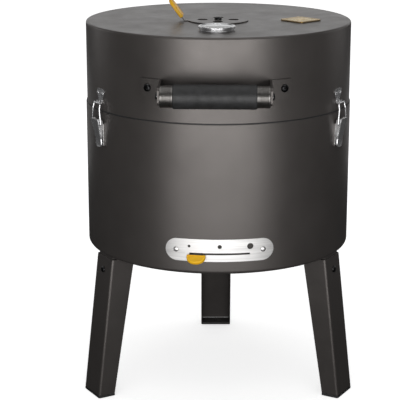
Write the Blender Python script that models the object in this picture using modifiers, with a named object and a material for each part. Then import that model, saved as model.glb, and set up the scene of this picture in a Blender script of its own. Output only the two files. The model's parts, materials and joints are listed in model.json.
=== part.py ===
"""Upright barrel smoker on three legs, modelled as separate sub-parts.

Metres, +Z up. The drum's axis is vertical, the front (handle, intake) faces -Y.
The origin is the middle of the object's footprint on the floor.
"""
import math

import bmesh
import bpy
from mathutils import Matrix, Vector

# ---- Driving dimensions ------------------------------------------------------------
GAP = 0.0003                    # clearance between touching pieces

DRUM_RADIUS = 0.220             # outside of the drum wall
DRUM_WALL = 0.0012
DRUM_BOTTOM = 0.240             # underside of the drum
SEAM = 0.4796                   # drum rim, where the lid's wall disappears into the drum
LID_RADIUS = 0.2184             # outside of the lid wall, which nests inside the rim
LID_WALL = 0.0012
LID_TOP = 0.613
LID_SKIRT = 0.4695              # lower edge of the lid wall, below the seam
ROUND_SEGMENTS = 64

LEG_AZIMUTHS = {"left": -60.0, "right": 60.0, "rear": 180.0}
LEG_TILT = math.radians(7.0)
LEG_TOP = 0.2359
LEG_FOOT = 0.0046
LEG_HALF_WIDTH = 0.0275
LEG_FACE_TOP = 0.2165           # distance of the leg's outer face from the axis, at its top
LEG_DEPTH_TOP = 0.041
LEG_DEPTH_FOOT = 0.0295
LEG_SHEET = 0.002
PAD_HEIGHT = 0.004
LEG_SCREW_HEIGHT = 0.2145

LID_TURN = math.radians(-1.85)  # the lid's fittings sit turned a little from the drum's
HANDLE_HEIGHT = 0.533
HANDLE_REACH = 0.270            # handle axis to drum axis
HANDLE_HALF_LENGTH = 0.0825
HANDLE_BAR_RADIUS = 0.0167
GRIP_RADIUS = 0.0185
GRIP_HALF_LENGTH = 0.063
BRACKET_SHEET = 0.003
BRACKET_HALF_HEIGHT = 0.014
BRACKET_BOLT_AZIMUTH = math.radians(28.3)

LATCH_AZIMUTHS = {"left": -59.7, "right": 60.0}
LEVER_PIVOT = Vector((0.0, -0.2268, 0.4665))
BAIL_PIVOT = Vector((0.0, -0.2275, 0.4603))
BAIL_BAR = Vector((0.0, -0.2258, 0.4945))      # middle of the bail's top bar, at the hook
LATCH_BASE_TOP = 0.4611
LATCH_BASE_FOOT = 0.4257
WIRE_RADIUS = 0.0013

HINGE_AXIS = Vector((0.0, 0.2285, SEAM))
KNUCKLE_RADIUS = 0.0045

INTAKE_HEIGHT = 0.2797
INTAKE_HALF_HEIGHT = 0.018
INTAKE_HALF_ANGLE = math.radians(22.5)
SLOT_HEIGHT = 0.2741
SLOT_HALF_ANGLE = math.radians(12.4)
HOLE_HEIGHT = 0.2861
HOLE_RADII = {-12.5: 0.0023, 0.0: 0.0033, 12.5: 0.0050}
SLIDER_AZIMUTH = math.radians(-9.45)

THERMOMETER_DISTANCE = 0.1330
THERMOMETER_RADIUS = 0.029
VENT_CENTRE = Vector((0.0, -0.024, LID_TOP))
VENT_RADIUS = 0.0495
VENT_HOLE_RADIUS = 0.0085
VENT_HOLE_DISTANCE = 0.0255
BADGE_CENTRE = Vector((0.135, -0.0195, LID_TOP))

SLEEVE_WIDTH = 0.030
SLEEVE_THICKNESS = 0.006

GRATE_RADIUS = 0.197
GRATE_HEIGHT = 0.4365
COAL_GRATE_RADIUS = 0.186
COAL_GRATE_HEIGHT = 0.3125

FRONT_REACH = HANDLE_REACH + GRIP_RADIUS
REAR_REACH = LEG_FACE_TOP + (LEG_TOP - LEG_FOOT) * math.tan(LEG_TILT)
DRUM_AXIS_Y = (FRONT_REACH - REAR_REACH) / 2

# ---- Scene set-up ------------------------------------------------------------------
for old in list(bpy.data.objects):
    bpy.data.objects.remove(old, do_unlink=True)

PARTS = bpy.data.collections.new("barrel_smoker")
CUTTERS = bpy.data.collections.new("cutters")
for group in (PARTS, CUTTERS):
    bpy.context.scene.collection.children.link(group)

MATERIAL_VALUES = {
    "powder_coat": ((0.075, 0.070, 0.068), 0.42, 0.55),
    "stainless": ((0.62, 0.62, 0.62), 0.28, 1.0),
    "chrome": ((0.78, 0.78, 0.80), 0.10, 1.0),
    "black_oxide": ((0.015, 0.015, 0.016), 0.35, 0.8),
    "black_grip": ((0.018, 0.018, 0.019), 0.60, 0.0),
    "black_plastic": ((0.02, 0.02, 0.02), 0.55, 0.0),
    "yellow_silicone": ((0.90, 0.48, 0.02), 0.45, 0.0),
    "gold": ((0.72, 0.47, 0.16), 0.30, 1.0),
    "dial_white": ((0.80, 0.80, 0.78), 0.50, 0.0),
    "dial_red": ((0.55, 0.03, 0.02), 0.40, 0.0),
    "glass": ((0.85, 0.88, 0.90), 0.05, 0.0),
    "plain_steel": ((0.35, 0.35, 0.35), 0.40, 1.0),
}


def make_material(name):
    """Principled material with the named colour, roughness and metallic value."""
    colour, roughness, metallic = MATERIAL_VALUES[name]
    material = bpy.data.materials.new(name)
    material.use_nodes = True
    shader = material.node_tree.nodes["Principled BSDF"]
    shader.inputs["Base Color"].default_value = (*colour, 1.0)
    shader.inputs["Roughness"].default_value = roughness
    shader.inputs["Metallic"].default_value = metallic
    material.diffuse_color = (*colour, 1.0)
    return material


MATERIALS = {name: make_material(name) for name in MATERIAL_VALUES}


def make_empty(name, location=(0, 0, 0), azimuth=0.0, parent=None):
    """Empty that carries parts; azimuth turns it about the vertical."""
    empty = bpy.data.objects.new(name, None)
    empty.empty_display_size = 0.03
    empty.location = location
    empty.rotation_euler = (0, 0, azimuth)
    empty.parent = parent
    PARTS.objects.link(empty)
    return empty


ASSEMBLY = make_empty("assembly", (0, DRUM_AXIS_Y, 0))


# ---- Modelling helpers -------------------------------------------------------------
def add_object(name, data, material, parent, cutter=False):
    """Link an object as a part, or as a wire-drawn cutter."""
    item = bpy.data.objects.new(name, data)
    if material and not cutter:
        data.materials.append(MATERIALS[material])
    (CUTTERS if cutter else PARTS).objects.link(item)
    item.parent = parent or ASSEMBLY
    if cutter:
        item.hide_render = True
        item.display_type = "WIRE"
    return item


def mesh_object(name, mesh_builder, material=None, parent=None, cutter=False, smooth=True):
    """Object from a bmesh, shaded smooth with sharp creases."""
    mesh_builder.normal_update()
    mesh = bpy.data.meshes.new(name)
    mesh_builder.to_mesh(mesh)
    mesh_builder.free()
    if smooth:
        mesh.shade_smooth()
        mesh.set_sharp_from_angle(angle=math.radians(35))
    return add_object(name, mesh, material, parent, cutter)


def hang_on(item, holder):
    """Parent to an empty that has only moved, keeping the part where it was drawn."""
    item.parent = holder
    item.matrix_parent_inverse = Matrix.Translation(-holder.location)


def turned(name, profile, material=None, parent=None, closed=False, segments=ROUND_SEGMENTS,
           cutter=False):
    """Turned piece: (radius, height) points run down the outer side, top to bottom."""
    builder = bmesh.new()
    points = [builder.verts.new((radius, 0, height)) for radius, height in profile]
    for first, second in zip(points, points[1:]):
        builder.edges.new((first, second))
    if closed:
        builder.edges.new((points[-1], points[0]))
    item = mesh_object(name, builder, material, parent, cutter, smooth=False)
    screw = item.modifiers.new("turn", "SCREW")
    screw.steps = segments
    screw.render_steps = segments
    screw.use_merge_vertices = True
    screw.merge_threshold = 0.00002
    screw.use_smooth_shade = True
    return item


def box(name, low, high, material=None, parent=None, cutter=False):
    """Box between two corners."""
    low, high = Vector(low), Vector(high)
    builder = bmesh.new()
    bmesh.ops.create_cube(builder, size=1.0)
    bmesh.ops.scale(builder, vec=high - low, verts=builder.verts)
    bmesh.ops.translate(builder, vec=(low + high) / 2, verts=builder.verts)
    return mesh_object(name, builder, material, parent, cutter, smooth=False)


def add_rod(builder, start, end, radius, segments):
    """Add a capped cylinder between two points to a bmesh."""
    start, end = Vector(start), Vector(end)
    direction = end - start
    turn = Vector((0, 0, 1)).rotation_difference(direction).to_matrix().to_4x4()
    bmesh.ops.create_cone(builder, cap_ends=True, segments=segments, radius1=radius,
                          radius2=radius, depth=direction.length,
                          matrix=Matrix.Translation((start + end) / 2) @ turn)


def rod(name, start, end, radius, material=None, parent=None, segments=16, cutter=False):
    """Cylinder between two points."""
    builder = bmesh.new()
    add_rod(builder, start, end, radius, segments)
    return mesh_object(name, builder, material, parent, cutter)


def arc_plate(name, inner, outer, half_angle, low, high, middle=0.0, segments=12,
              material=None, parent=None, cutter=False):
    """Curved strip of the drum's wall: a rectangle spun about the drum's axis."""
    builder = bmesh.new()
    corners = ((inner, low), (outer, low), (outer, high), (inner, high))
    face = builder.faces.new([builder.verts.new((0, -radius, height))
                              for radius, height in corners])
    start = Matrix.Rotation(middle - half_angle, 3, "Z")
    bmesh.ops.rotate(builder, cent=(0, 0, 0), matrix=start, verts=builder.verts)
    bmesh.ops.spin(builder, geom=[face] + face.edges[:] + face.verts[:], cent=(0, 0, 0),
                   axis=(0, 0, 1), angle=2 * half_angle, steps=segments)
    bmesh.ops.recalc_face_normals(builder, faces=builder.faces)
    return mesh_object(name, builder, material, parent, cutter)


def flat_plate(name, outline, thickness, frame, material=None, parent=None, cutter=False):
    """Flat outline as a filled 2D curve, made a mesh; frame places its XY plane."""
    curve = bpy.data.curves.new(name, "CURVE")
    curve.dimensions = "2D"
    curve.fill_mode = "BOTH"
    curve.extrude = thickness / 2
    spline = curve.splines.new("POLY")
    spline.points.add(len(outline) - 1)
    for point, (x, y) in zip(spline.points, outline):
        point.co = (x, y, 0, 1)
    spline.use_cyclic_u = True
    guide = bpy.data.objects.new(name + "_outline", curve)
    bpy.context.scene.collection.objects.link(guide)
    depsgraph = bpy.context.evaluated_depsgraph_get()
    mesh = bpy.data.meshes.new_from_object(guide.evaluated_get(depsgraph))
    bpy.data.objects.remove(guide, do_unlink=True)
    builder = bmesh.new()
    builder.from_mesh(mesh)
    bpy.data.meshes.remove(mesh)
    bmesh.ops.remove_doubles(builder, verts=builder.verts, dist=0.00001)
    bmesh.ops.dissolve_limit(builder, angle_limit=math.radians(1), verts=builder.verts,
                             edges=builder.edges)
    bmesh.ops.transform(builder, matrix=frame, verts=builder.verts)
    bmesh.ops.recalc_face_normals(builder, faces=builder.faces)
    return mesh_object(name, builder, material, parent, cutter)


def facing_front(y):
    """Frame whose plane stands upright at this Y, with its X to the right and Y up."""
    return Matrix.Translation((0, y, 0)) @ Matrix.Rotation(math.pi / 2, 4, "X")


def facing_side(x):
    """Frame whose outline points are (Y, Z) and whose thickness runs along X."""
    return Matrix.Translation((x, 0, 0)) @ Matrix(((0, 0, 1, 0), (1, 0, 0, 0), (0, 1, 0, 0),
                                                   (0, 0, 0, 1)))


def arc_points(centre, radius, start, end, steps):
    """Points along an arc, both ends included; angles in degrees."""
    angles = [math.radians(start + (end - start) * i / steps) for i in range(steps + 1)]
    return [(centre[0] + radius * math.cos(a), centre[1] + radius * math.sin(a)) for a in angles]


def boolean(item, other, operation):
    """Boolean modifier; the other object becomes a hidden cutter."""
    modifier = item.modifiers.new(other.name, "BOOLEAN")
    modifier.operation = operation
    modifier.object = other
    modifier.solver = "EXACT"


def cut(item, *others):
    for other in others:
        boolean(item, other, "DIFFERENCE")


def weld(item, *others):
    for other in others:
        boolean(item, other, "UNION")


def wire(name, points, radius, material, parent, cutter=False, resolution=2):
    """Bent wire: a POLY curve with a round bevel, made a closed mesh."""
    curve = bpy.data.curves.new(name, "CURVE")
    curve.dimensions = "3D"
    curve.bevel_depth = radius
    curve.bevel_resolution = resolution
    curve.use_fill_caps = True
    spline = curve.splines.new("POLY")
    spline.points.add(len(points) - 1)
    for point, place in zip(spline.points, points):
        point.co = (*place, 1)
    guide = bpy.data.objects.new(name + "_path", curve)
    bpy.context.scene.collection.objects.link(guide)
    depsgraph = bpy.context.evaluated_depsgraph_get()
    mesh = bpy.data.meshes.new_from_object(guide.evaluated_get(depsgraph))
    bpy.data.objects.remove(guide, do_unlink=True)
    builder = bmesh.new()
    builder.from_mesh(mesh)
    bpy.data.meshes.remove(mesh)
    bmesh.ops.remove_doubles(builder, verts=builder.verts, dist=0.00001)
    bmesh.ops.recalc_face_normals(builder, faces=builder.faces)
    return mesh_object(name, builder, material, parent, cutter)


def channel(name, sections, sheet, corner, material, parent):
    """Bent-sheet channel, open towards the axis, lofted through level sections.

    Each section is (height, half width, depth, distance of its face from the axis).
    """
    builder = bmesh.new()
    rows = []
    for height, half_width, depth, face in sections:
        bend = min(corner, depth * 0.8, half_width * 0.8)
        left = arc_points((-half_width + bend, -face + bend), bend, 180, 270, 3)
        right = arc_points((half_width - bend, -face + bend), bend, 270, 360, 3)
        outline = [(-half_width, depth - face)] + left + right + [(half_width, depth - face)]
        rows.append([builder.verts.new((x, y, height)) for x, y in outline])
    for upper, lower in zip(rows, rows[1:]):
        for i in range(len(upper) - 1):
            builder.faces.new((upper[i], lower[i], lower[i + 1], upper[i + 1]))
    item = mesh_object(name, builder, material, parent)
    solidify = item.modifiers.new("sheet", "SOLIDIFY")
    solidify.thickness = sheet
    solidify.offset = -1
    solidify.use_even_offset = True
    return item


def domed_screw(name, head_radius, head_height, shank_radius, shank_length, frame, material,
                parent, cutter=False):
    """Pan-head screw or rivet; its local +Z points out of the head."""
    crown = [(0, head_height), (head_radius * 0.55, head_height * 0.93),
             (head_radius * 0.86, head_height * 0.68), (head_radius, head_height * 0.25),
             (head_radius, 0)]
    shank = [(shank_radius, 0), (shank_radius, -shank_length), (0, -shank_length)]
    item = turned(name, crown + shank, material, parent, segments=12, cutter=cutter)
    item.matrix_basis = frame
    return item


def outward(azimuth, distance, height):
    """Frame on the drum's wall whose +Z points away from the axis."""
    return (Matrix.Rotation(azimuth, 4, "Z") @ Matrix.Translation((0, -distance, height))
            @ Matrix.Rotation(math.pi / 2, 4, "X"))


# ---- Drum ----------------------------------------------------------------------------
def make_drum():
    inner = DRUM_RADIUS - DRUM_WALL
    bend = 0.006
    floor = DRUM_BOTTOM + DRUM_WALL
    outer_bend = arc_points((DRUM_RADIUS - bend, DRUM_BOTTOM + bend), bend, 0, -90, 3)
    inner_bend = arc_points((inner - bend + DRUM_WALL, floor + bend - DRUM_WALL),
                            bend - DRUM_WALL, -90, 0, 2)
    profile = [(0, floor)] + inner_bend + [(inner, SEAM), (DRUM_RADIUS, SEAM)]
    drum = turned("drum_shell", profile + outer_bend + [(0, DRUM_BOTTOM)], "powder_coat")
    for azimuth, radius in HOLE_RADII.items():
        frame = Matrix.Rotation(math.radians(azimuth), 4, "Z")
        start = frame @ Vector((0, -DRUM_RADIUS - 0.004, HOLE_HEIGHT))
        end = frame @ Vector((0, -DRUM_RADIUS + 0.006, HOLE_HEIGHT))
        cut(drum, rod("drum_hole_cutter", start, end, radius + 0.001, cutter=True))
    cut(drum, arc_plate("drum_slot_cutter", DRUM_RADIUS - 0.006, DRUM_RADIUS + 0.004,
                        SLOT_HALF_ANGLE + 0.006, SLOT_HEIGHT - 0.0022, SLOT_HEIGHT + 0.0022,
                        cutter=True))
    for side in (-1, 1):
        frame = Matrix.Rotation(side * math.radians(18), 4, "Z")
        start = frame @ Vector((0, -DRUM_RADIUS - 0.004, INTAKE_HEIGHT))
        end = frame @ Vector((0, -DRUM_RADIUS + 0.006, INTAKE_HEIGHT))
        cut(drum, rod("drum_rivet_cutter", start, end, 0.0015 + GAP, cutter=True))
    ledge_outer = inner - GAP
    seat = LID_SKIRT - GAP
    turned("lid_seat_ring", [(ledge_outer, seat), (ledge_outer, seat - 0.003),
                             (0.2065, seat - 0.003), (0.2065, seat)],
           "powder_coat", closed=True)


def make_grate_supports():
    """Three wall strips, each with a shelf for the coal grate and one for the cooking grate."""
    wall = DRUM_RADIUS - DRUM_WALL - 0.0007
    wire_half = 0.003
    for name, azimuth in (("front_left", -40), ("front_right", 40), ("rear", 180)):
        station = make_empty("support_" + name, azimuth=math.radians(azimuth), parent=ASSEMBLY)
        shelf_levels = (COAL_GRATE_HEIGHT - wire_half - GAP, GRATE_HEIGHT - wire_half - GAP)
        strip = arc_plate("grate_support_" + name, wall - 0.002, wall, 0.045,
                          shelf_levels[0] - 0.012, LID_SKIRT - 0.009, segments=4,
                          material="plain_steel", parent=station)
        for level, reach in zip(shelf_levels, (0.178, 0.190)):
            shelf = box("shelf_cutter", (-0.008, 1e-3 - wall, level - 0.002),
                        (0.008, -reach, level), parent=station, cutter=True)
            weld(strip, shelf)


def make_grate(name, radius, height, bar_pitch, wire_radius=0.003, bar_radius=0.002):
    """Round wire grate: a ring with parallel bars and two bars across below them."""
    ring_circle = arc_points((radius - wire_radius, height), wire_radius, 90, -198, 4)
    grate = turned(name, ring_circle, "chrome", closed=True, segments=36)
    span = radius - wire_radius
    count = int(span / bar_pitch)
    bars = bmesh.new()
    for i in range(-count, count + 1):
        x = i * bar_pitch
        reach = math.sqrt(span * span - x * x)
        add_rod(bars, (x, -reach, height + 0.0008), (x, reach, height + 0.0008), bar_radius, 5)
    weld(grate, mesh_object(name + "_bars", bars, cutter=True))
    ties = bmesh.new()
    for y in (-0.45 * radius, 0.45 * radius):
        reach = math.sqrt(span * span - y * y)
        add_rod(ties, (-reach, y, height - 0.0012), (reach, y, height - 0.0012), bar_radius, 5)
    weld(grate, mesh_object(name + "_ties", ties, cutter=True))
    holder = make_empty(name + "_lift", (0, 0, height), parent=ASSEMBLY)
    hang_on(grate, holder)


def make_ash_tray():
    floor = DRUM_BOTTOM + DRUM_WALL + GAP
    radius = 0.182
    profile = [(0, floor + 0.0012), (radius - 0.006, floor + 0.0012),
               (radius - 0.0014, floor + 0.016), (radius + 0.004, floor + 0.018),
               (radius + 0.004, floor + 0.0165), (radius, floor + 0.0165),
               (radius - 0.005, floor), (0, floor)]
    tray = turned("ash_tray", profile, "plain_steel", segments=40)
    hang_on(tray, make_empty("ash_tray_lift", (0, 0, floor), parent=ASSEMBLY))


# ---- Intake ---------------------------------------------------------------------------
def make_grip_sleeve(name, length, frame, tongue_frame, tongue, parent):
    """Soft sleeve pushed over a flat tongue; frame: +Y along the tongue, +Z its normal."""
    half = SLEEVE_WIDTH / 2
    corner = 0.0135
    outline = [(-half, 0), (half, 0)]
    outline += arc_points((half - corner, length - corner), corner, 0, 90, 8)
    outline += arc_points((-half + corner, length - corner), corner, 90, 180, 8)
    sleeve = flat_plate(name, outline, SLEEVE_THICKNESS, Matrix(), "yellow_silicone", parent)
    sleeve.matrix_basis = frame
    bevel = sleeve.modifiers.new("soft_edges", "BEVEL")
    bevel.width = 0.0016
    bevel.segments = 3
    bevel.limit_method = "ANGLE"
    bevel.angle_limit = math.radians(40)
    half_width, reach, half_thickness = tongue
    pocket = box(name + "_pocket_cutter", (-half_width - GAP, -0.005, -half_thickness - GAP),
                 (half_width + GAP, reach + GAP, half_thickness + GAP), parent=parent,
                 cutter=True)
    pocket.matrix_basis = tongue_frame
    cut(sleeve, pocket)
    return sleeve


def make_intake():
    back = DRUM_RADIUS + GAP
    face = back + 0.001
    plate = arc_plate("intake_plate", back, face, INTAKE_HALF_ANGLE + 0.02,
                      INTAKE_HEIGHT - 0.03, INTAKE_HEIGHT + 0.03, segments=20,
                      material="stainless")
    reach = face * math.sin(INTAKE_HALF_ANGLE) - INTAKE_HALF_HEIGHT
    outline = arc_points((reach, INTAKE_HEIGHT), INTAKE_HALF_HEIGHT, -90, 90, 12)
    outline += arc_points((-reach, INTAKE_HEIGHT), INTAKE_HALF_HEIGHT, 90, 270, 12)
    boolean(plate, flat_plate("intake_outline", outline, 0.12, facing_front(-0.22),
                              cutter=True), "INTERSECT")
    for azimuth, radius in HOLE_RADII.items():
        frame = Matrix.Rotation(math.radians(azimuth), 4, "Z")
        start = frame @ Vector((0, -DRUM_RADIUS - 0.006, HOLE_HEIGHT))
        end = frame @ Vector((0, -DRUM_RADIUS + 0.006, HOLE_HEIGHT))
        cut(plate, rod("plate_hole_cutter", start, end, radius, cutter=True))
    cut(plate, arc_plate("plate_slot_cutter", DRUM_RADIUS - 0.006, DRUM_RADIUS + 0.006,
                         SLOT_HALF_ANGLE, SLOT_HEIGHT - 0.0015, SLOT_HEIGHT + 0.0015,
                         cutter=True))
    for name, side in (("left", -1), ("right", 1)):
        azimuth = side * math.radians(18)
        frame = Matrix.Rotation(azimuth, 4, "Z")
        start = frame @ Vector((0, -DRUM_RADIUS - 0.006, INTAKE_HEIGHT))
        end = frame @ Vector((0, -DRUM_RADIUS + 0.006, INTAKE_HEIGHT))
        cut(plate, rod("plate_rivet_cutter", start, end, 0.0015 + GAP, cutter=True))
        domed_screw("intake_rivet_" + name, 0.0042, 0.0016, 0.0015, 0.0024,
                    outward(azimuth, face + GAP, INTAKE_HEIGHT), "stainless", ASSEMBLY)
    make_slider(face)


def make_slider(face):
    """Shutter strip inside the drum, with a tongue through the slot to the grip sleeve."""
    turn = make_empty("intake_slider_axis", azimuth=SLIDER_AZIMUTH, parent=ASSEMBLY)
    outer = DRUM_RADIUS - DRUM_WALL - 0.0007
    strip = arc_plate("intake_slider", outer - 0.0008, outer, math.radians(16.5), 0.2695, 0.2935,
                      middle=math.radians(8.4), segments=14, material="stainless", parent=turn)
    frame = Matrix.Rotation(math.radians(3.0), 4, "Z")
    start = frame @ Vector((0, -DRUM_RADIUS - 0.006, HOLE_HEIGHT))
    end = frame @ Vector((0, -DRUM_RADIUS + 0.006, HOLE_HEIGHT))
    cut(strip, rod("slider_hole_cutter", start, end, 0.006, parent=turn, cutter=True))
    half_width = 0.0108
    half_thickness = 0.0006
    slope = math.radians(30)
    bend_at = face + 0.0012
    tongue_reach = 0.0105
    level = SLOT_HEIGHT - 0.0006
    run = [(0.0002 - outer, level), (-bend_at, level)]
    tip = (-bend_at - tongue_reach * math.cos(slope), level - tongue_reach * math.sin(slope))
    normal = (half_thickness * math.sin(slope), half_thickness * math.cos(slope))
    outline = [(run[0][0], level - half_thickness), (run[0][0], level + half_thickness),
               (run[1][0], level + half_thickness),
               (tip[0] - normal[0], tip[1] + normal[1]), (tip[0] + normal[0], tip[1] - normal[1]),
               (run[1][0], level - half_thickness)]
    weld(strip, flat_plate("slider_tongue", outline, 2 * half_width, facing_side(0),
                           parent=turn, cutter=True))
    along = (Matrix.Translation((0, run[1][0], run[1][1])) @ Matrix.Rotation(math.pi, 4, "Z")
             @ Matrix.Rotation(-slope, 4, "X"))
    sleeve_frame = along @ Matrix.Translation((0, 0.0016, -0.0015))
    make_grip_sleeve("intake_grip", 0.0165, sleeve_frame, along,
                     (half_width, tongue_reach, half_thickness), turn)


# ---- Legs -----------------------------------------------------------------------------
def make_leg(name, azimuth):
    station = make_empty("leg_station_" + name, azimuth=math.radians(azimuth), parent=ASSEMBLY)

    def face_at(height):
        return LEG_FACE_TOP + (LEG_TOP - height) * math.tan(LEG_TILT)

    sections = [(LEG_TOP, LEG_HALF_WIDTH, LEG_DEPTH_TOP, face_at(LEG_TOP)),
                (LEG_FOOT, LEG_HALF_WIDTH, LEG_DEPTH_FOOT, face_at(LEG_FOOT))]
    leg = channel("leg_" + name, sections, LEG_SHEET, 0.004, "powder_coat", station)

    screw_face = face_at(LEG_SCREW_HEIGHT)
    tilt = Matrix.Rotation(math.pi / 2 - LEG_TILT, 4, "X")
    screw_frame = Matrix.Translation((0, -screw_face, LEG_SCREW_HEIGHT)) @ tilt
    bore = rod("leg_bore_cutter", screw_frame @ Vector((0, 0, 0.01)),
               screw_frame @ Vector((0, 0, -0.012)), 0.003 + GAP, parent=station, cutter=True)
    cut(leg, bore)
    head_frame = screw_frame @ Matrix.Translation((0, 0, GAP))
    domed_screw("leg_screw_" + name, 0.0055, 0.003, 0.003, 0.010, head_frame, "black_oxide",
                station)

    # Bracket: a flange under the drum and a tongue behind the leg's face.
    inset = LEG_SHEET / math.cos(LEG_TILT) + GAP
    top = DRUM_BOTTOM - GAP
    tongue_foot = 0.196
    outline = [(-(face_at(top) - inset), top), (-0.172, top), (-0.172, LEG_TOP + GAP),
               (-(face_at(LEG_TOP) - inset - 0.003), LEG_TOP + GAP),
               (-(face_at(tongue_foot) - inset - 0.003), tongue_foot),
               (-(face_at(tongue_foot) - inset), tongue_foot)]
    bracket = flat_plate("leg_bracket_" + name, outline, 0.046, facing_side(0), "powder_coat",
                         station)
    cut(bracket, bore)

    # Foot pad: a rounded plate under the channel.
    foot_face = face_at(LEG_FOOT)
    pad = box("foot_pad_" + name, (-LEG_HALF_WIDTH, -foot_face, 0),
              (LEG_HALF_WIDTH, -foot_face + LEG_DEPTH_FOOT + 0.001, PAD_HEIGHT), "black_plastic",
              station)
    bevel = pad.modifiers.new("corners", "BEVEL")
    bevel.width = 0.003
    bevel.segments = 3
    bevel.affect = "EDGES"
    bevel.limit_method = "WEIGHT"
    weights = pad.data.attributes.new("bevel_weight_edge", "FLOAT", "EDGE")
    for edge in pad.data.edges:
        ends = [pad.data.vertices[i].co for i in edge.vertices]
        weights.data[edge.index].value = 1.0 if abs(ends[0].z - ends[1].z) > 0.001 else 0.0
    cut(pad, rod("pad_bore_cutter", (0, -foot_face + 0.015, -0.01), (0, -foot_face + 0.015, 0.01),
                 0.0028, parent=station, segments=12, cutter=True))


# ---- Lid ------------------------------------------------------------------------------
def make_lid(axis, fittings):
    inner = LID_RADIUS - LID_WALL
    bend = 0.0035
    ceiling = LID_TOP - LID_WALL
    outer_bend = arc_points((LID_RADIUS - bend, LID_TOP - bend), bend, 90, 0, 3)
    inner_bend = arc_points((LID_RADIUS - bend, LID_TOP - bend), bend - LID_WALL, 0, 90, 2)
    profile = [(0, LID_TOP)] + outer_bend + [(LID_RADIUS, LID_SKIRT), (inner, LID_SKIRT)]
    lid = turned("lid_shell", profile + inner_bend + [(0, ceiling)], "powder_coat")
    hang_on(lid, axis)
    for i in range(4):
        angle = math.radians(45 + 90 * i)
        centre = VENT_CENTRE + VENT_HOLE_DISTANCE * Vector((math.cos(angle), math.sin(angle), 0))
        cut(lid, rod("lid_vent_cutter", centre - Vector((0, 0, 0.01)),
                     centre + Vector((0, 0, 0.01)), VENT_HOLE_RADIUS, parent=fittings,
                     cutter=True))
    cut(lid, rod("lid_pivot_cutter", VENT_CENTRE - Vector((0, 0, 0.01)),
                 VENT_CENTRE + Vector((0, 0, 0.01)), 0.003 + GAP, parent=fittings, cutter=True))
    stem = Vector((0, -THERMOMETER_DISTANCE, LID_TOP))
    cut(lid, rod("lid_stem_cutter", stem - Vector((0, 0, 0.01)), stem + Vector((0, 0, 0.01)),
                 0.0045, parent=fittings, cutter=True))
    for side in (-1, 1):
        frame = Matrix.Rotation(side * BRACKET_BOLT_AZIMUTH, 4, "Z")
        cut(lid, rod("lid_bolt_cutter", frame @ Vector((0, -0.23, HANDLE_HEIGHT)),
                     frame @ Vector((0, -0.205, HANDLE_HEIGHT)), 0.003 + GAP, parent=fittings,
                     cutter=True))


def make_handle(fittings):
    """Grip sleeve on a bar held between two bent brackets bolted to the lid."""
    low = HANDLE_HEIGHT - BRACKET_HALF_HEIGHT
    high = HANDLE_HEIGHT + BRACKET_HALF_HEIGHT
    flange_inner = LID_RADIUS + GAP
    flange_outer = flange_inner + BRACKET_SHEET
    arm_inner = HANDLE_HALF_LENGTH + GAP
    arm_outer = arm_inner + BRACKET_SHEET
    for name, side in (("left", -1), ("right", 1)):
        near = math.asin(arm_inner / flange_outer)
        far = BRACKET_BOLT_AZIMUTH + math.radians(3.2)
        flange = arc_plate("handle_bracket_" + name, flange_inner, flange_outer, (far - near) / 2,
                           low, high, middle=side * (far + near) / 2, segments=4,
                           material="powder_coat", parent=fittings)
        arm_root = -flange_outer * math.cos(near) + 0.0022
        tip = -HANDLE_REACH - 0.004
        rounding = 0.006
        outline = [(arm_root, low), (arm_root, high)]
        outline += arc_points((tip + rounding, high - rounding), rounding, 90, 180, 4)
        outline += arc_points((tip + rounding, low + rounding), rounding, 180, 270, 4)
        weld(flange, flat_plate("bracket_arm", outline, BRACKET_SHEET,
                                facing_side(side * (arm_inner + arm_outer) / 2),
                                parent=fittings, cutter=True))
        frame = Matrix.Rotation(side * BRACKET_BOLT_AZIMUTH, 4, "Z")
        cut(flange, rod("flange_bore_cutter", frame @ Vector((0, -0.235, HANDLE_HEIGHT)),
                        frame @ Vector((0, -0.205, HANDLE_HEIGHT)), 0.003 + GAP,
                        parent=fittings, cutter=True))
        cut(flange, rod("arm_bore_cutter", (side * 0.075, -HANDLE_REACH + 0.004, HANDLE_HEIGHT),
                        (side * 0.095, -HANDLE_REACH + 0.004, HANDLE_HEIGHT), 0.003 + GAP,
                        parent=fittings, cutter=True))
        domed_screw("handle_bolt_" + name, 0.0063, 0.0038, 0.003, 0.012,
                    outward(side * BRACKET_BOLT_AZIMUTH, flange_outer + GAP, HANDLE_HEIGHT),
                    "black_oxide", fittings)
        end_frame = (Matrix.Translation((side * (arm_outer + GAP), -HANDLE_REACH + 0.004,
                                         HANDLE_HEIGHT))
                     @ Matrix.Rotation(side * math.pi / 2, 4, "Y"))
        domed_screw("handle_end_screw_" + name, 0.0055, 0.0032, 0.003, 0.014, end_frame,
                    "black_oxide", fittings)

    along = Matrix.Translation((0, -HANDLE_REACH, HANDLE_HEIGHT)) @ Matrix.Rotation(
        math.pi / 2, 4, "Y")
    half = HANDLE_HALF_LENGTH
    radius = HANDLE_BAR_RADIUS
    chamfer = 0.0015
    bar = turned("handle_bar", [(0, half), (radius - chamfer, half), (radius, half - chamfer),
                                (radius, chamfer - half), (radius - chamfer, -half), (0, -half)],
                 "plain_steel", fittings, segments=32)
    bar.matrix_basis = along
    for side in (-1, 1):
        cut(bar, rod("bar_bore_cutter",
                     (side * (half - 0.013), -HANDLE_REACH + 0.004, HANDLE_HEIGHT),
                     (side * (half + 0.002), -HANDLE_REACH + 0.004, HANDLE_HEIGHT),
                     0.003 + GAP, parent=fittings, cutter=True))
    inner = radius + GAP
    end = GRIP_HALF_LENGTH
    grip = turned("handle_grip", [(inner, end), (GRIP_RADIUS - 0.0012, end),
                                  (GRIP_RADIUS, end - 0.003), (GRIP_RADIUS, 0.003 - end),
                                  (GRIP_RADIUS - 0.0012, -end), (inner, -end)],
                  "black_grip", fittings, closed=True, segments=32)
    grip.matrix_basis = along


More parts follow.
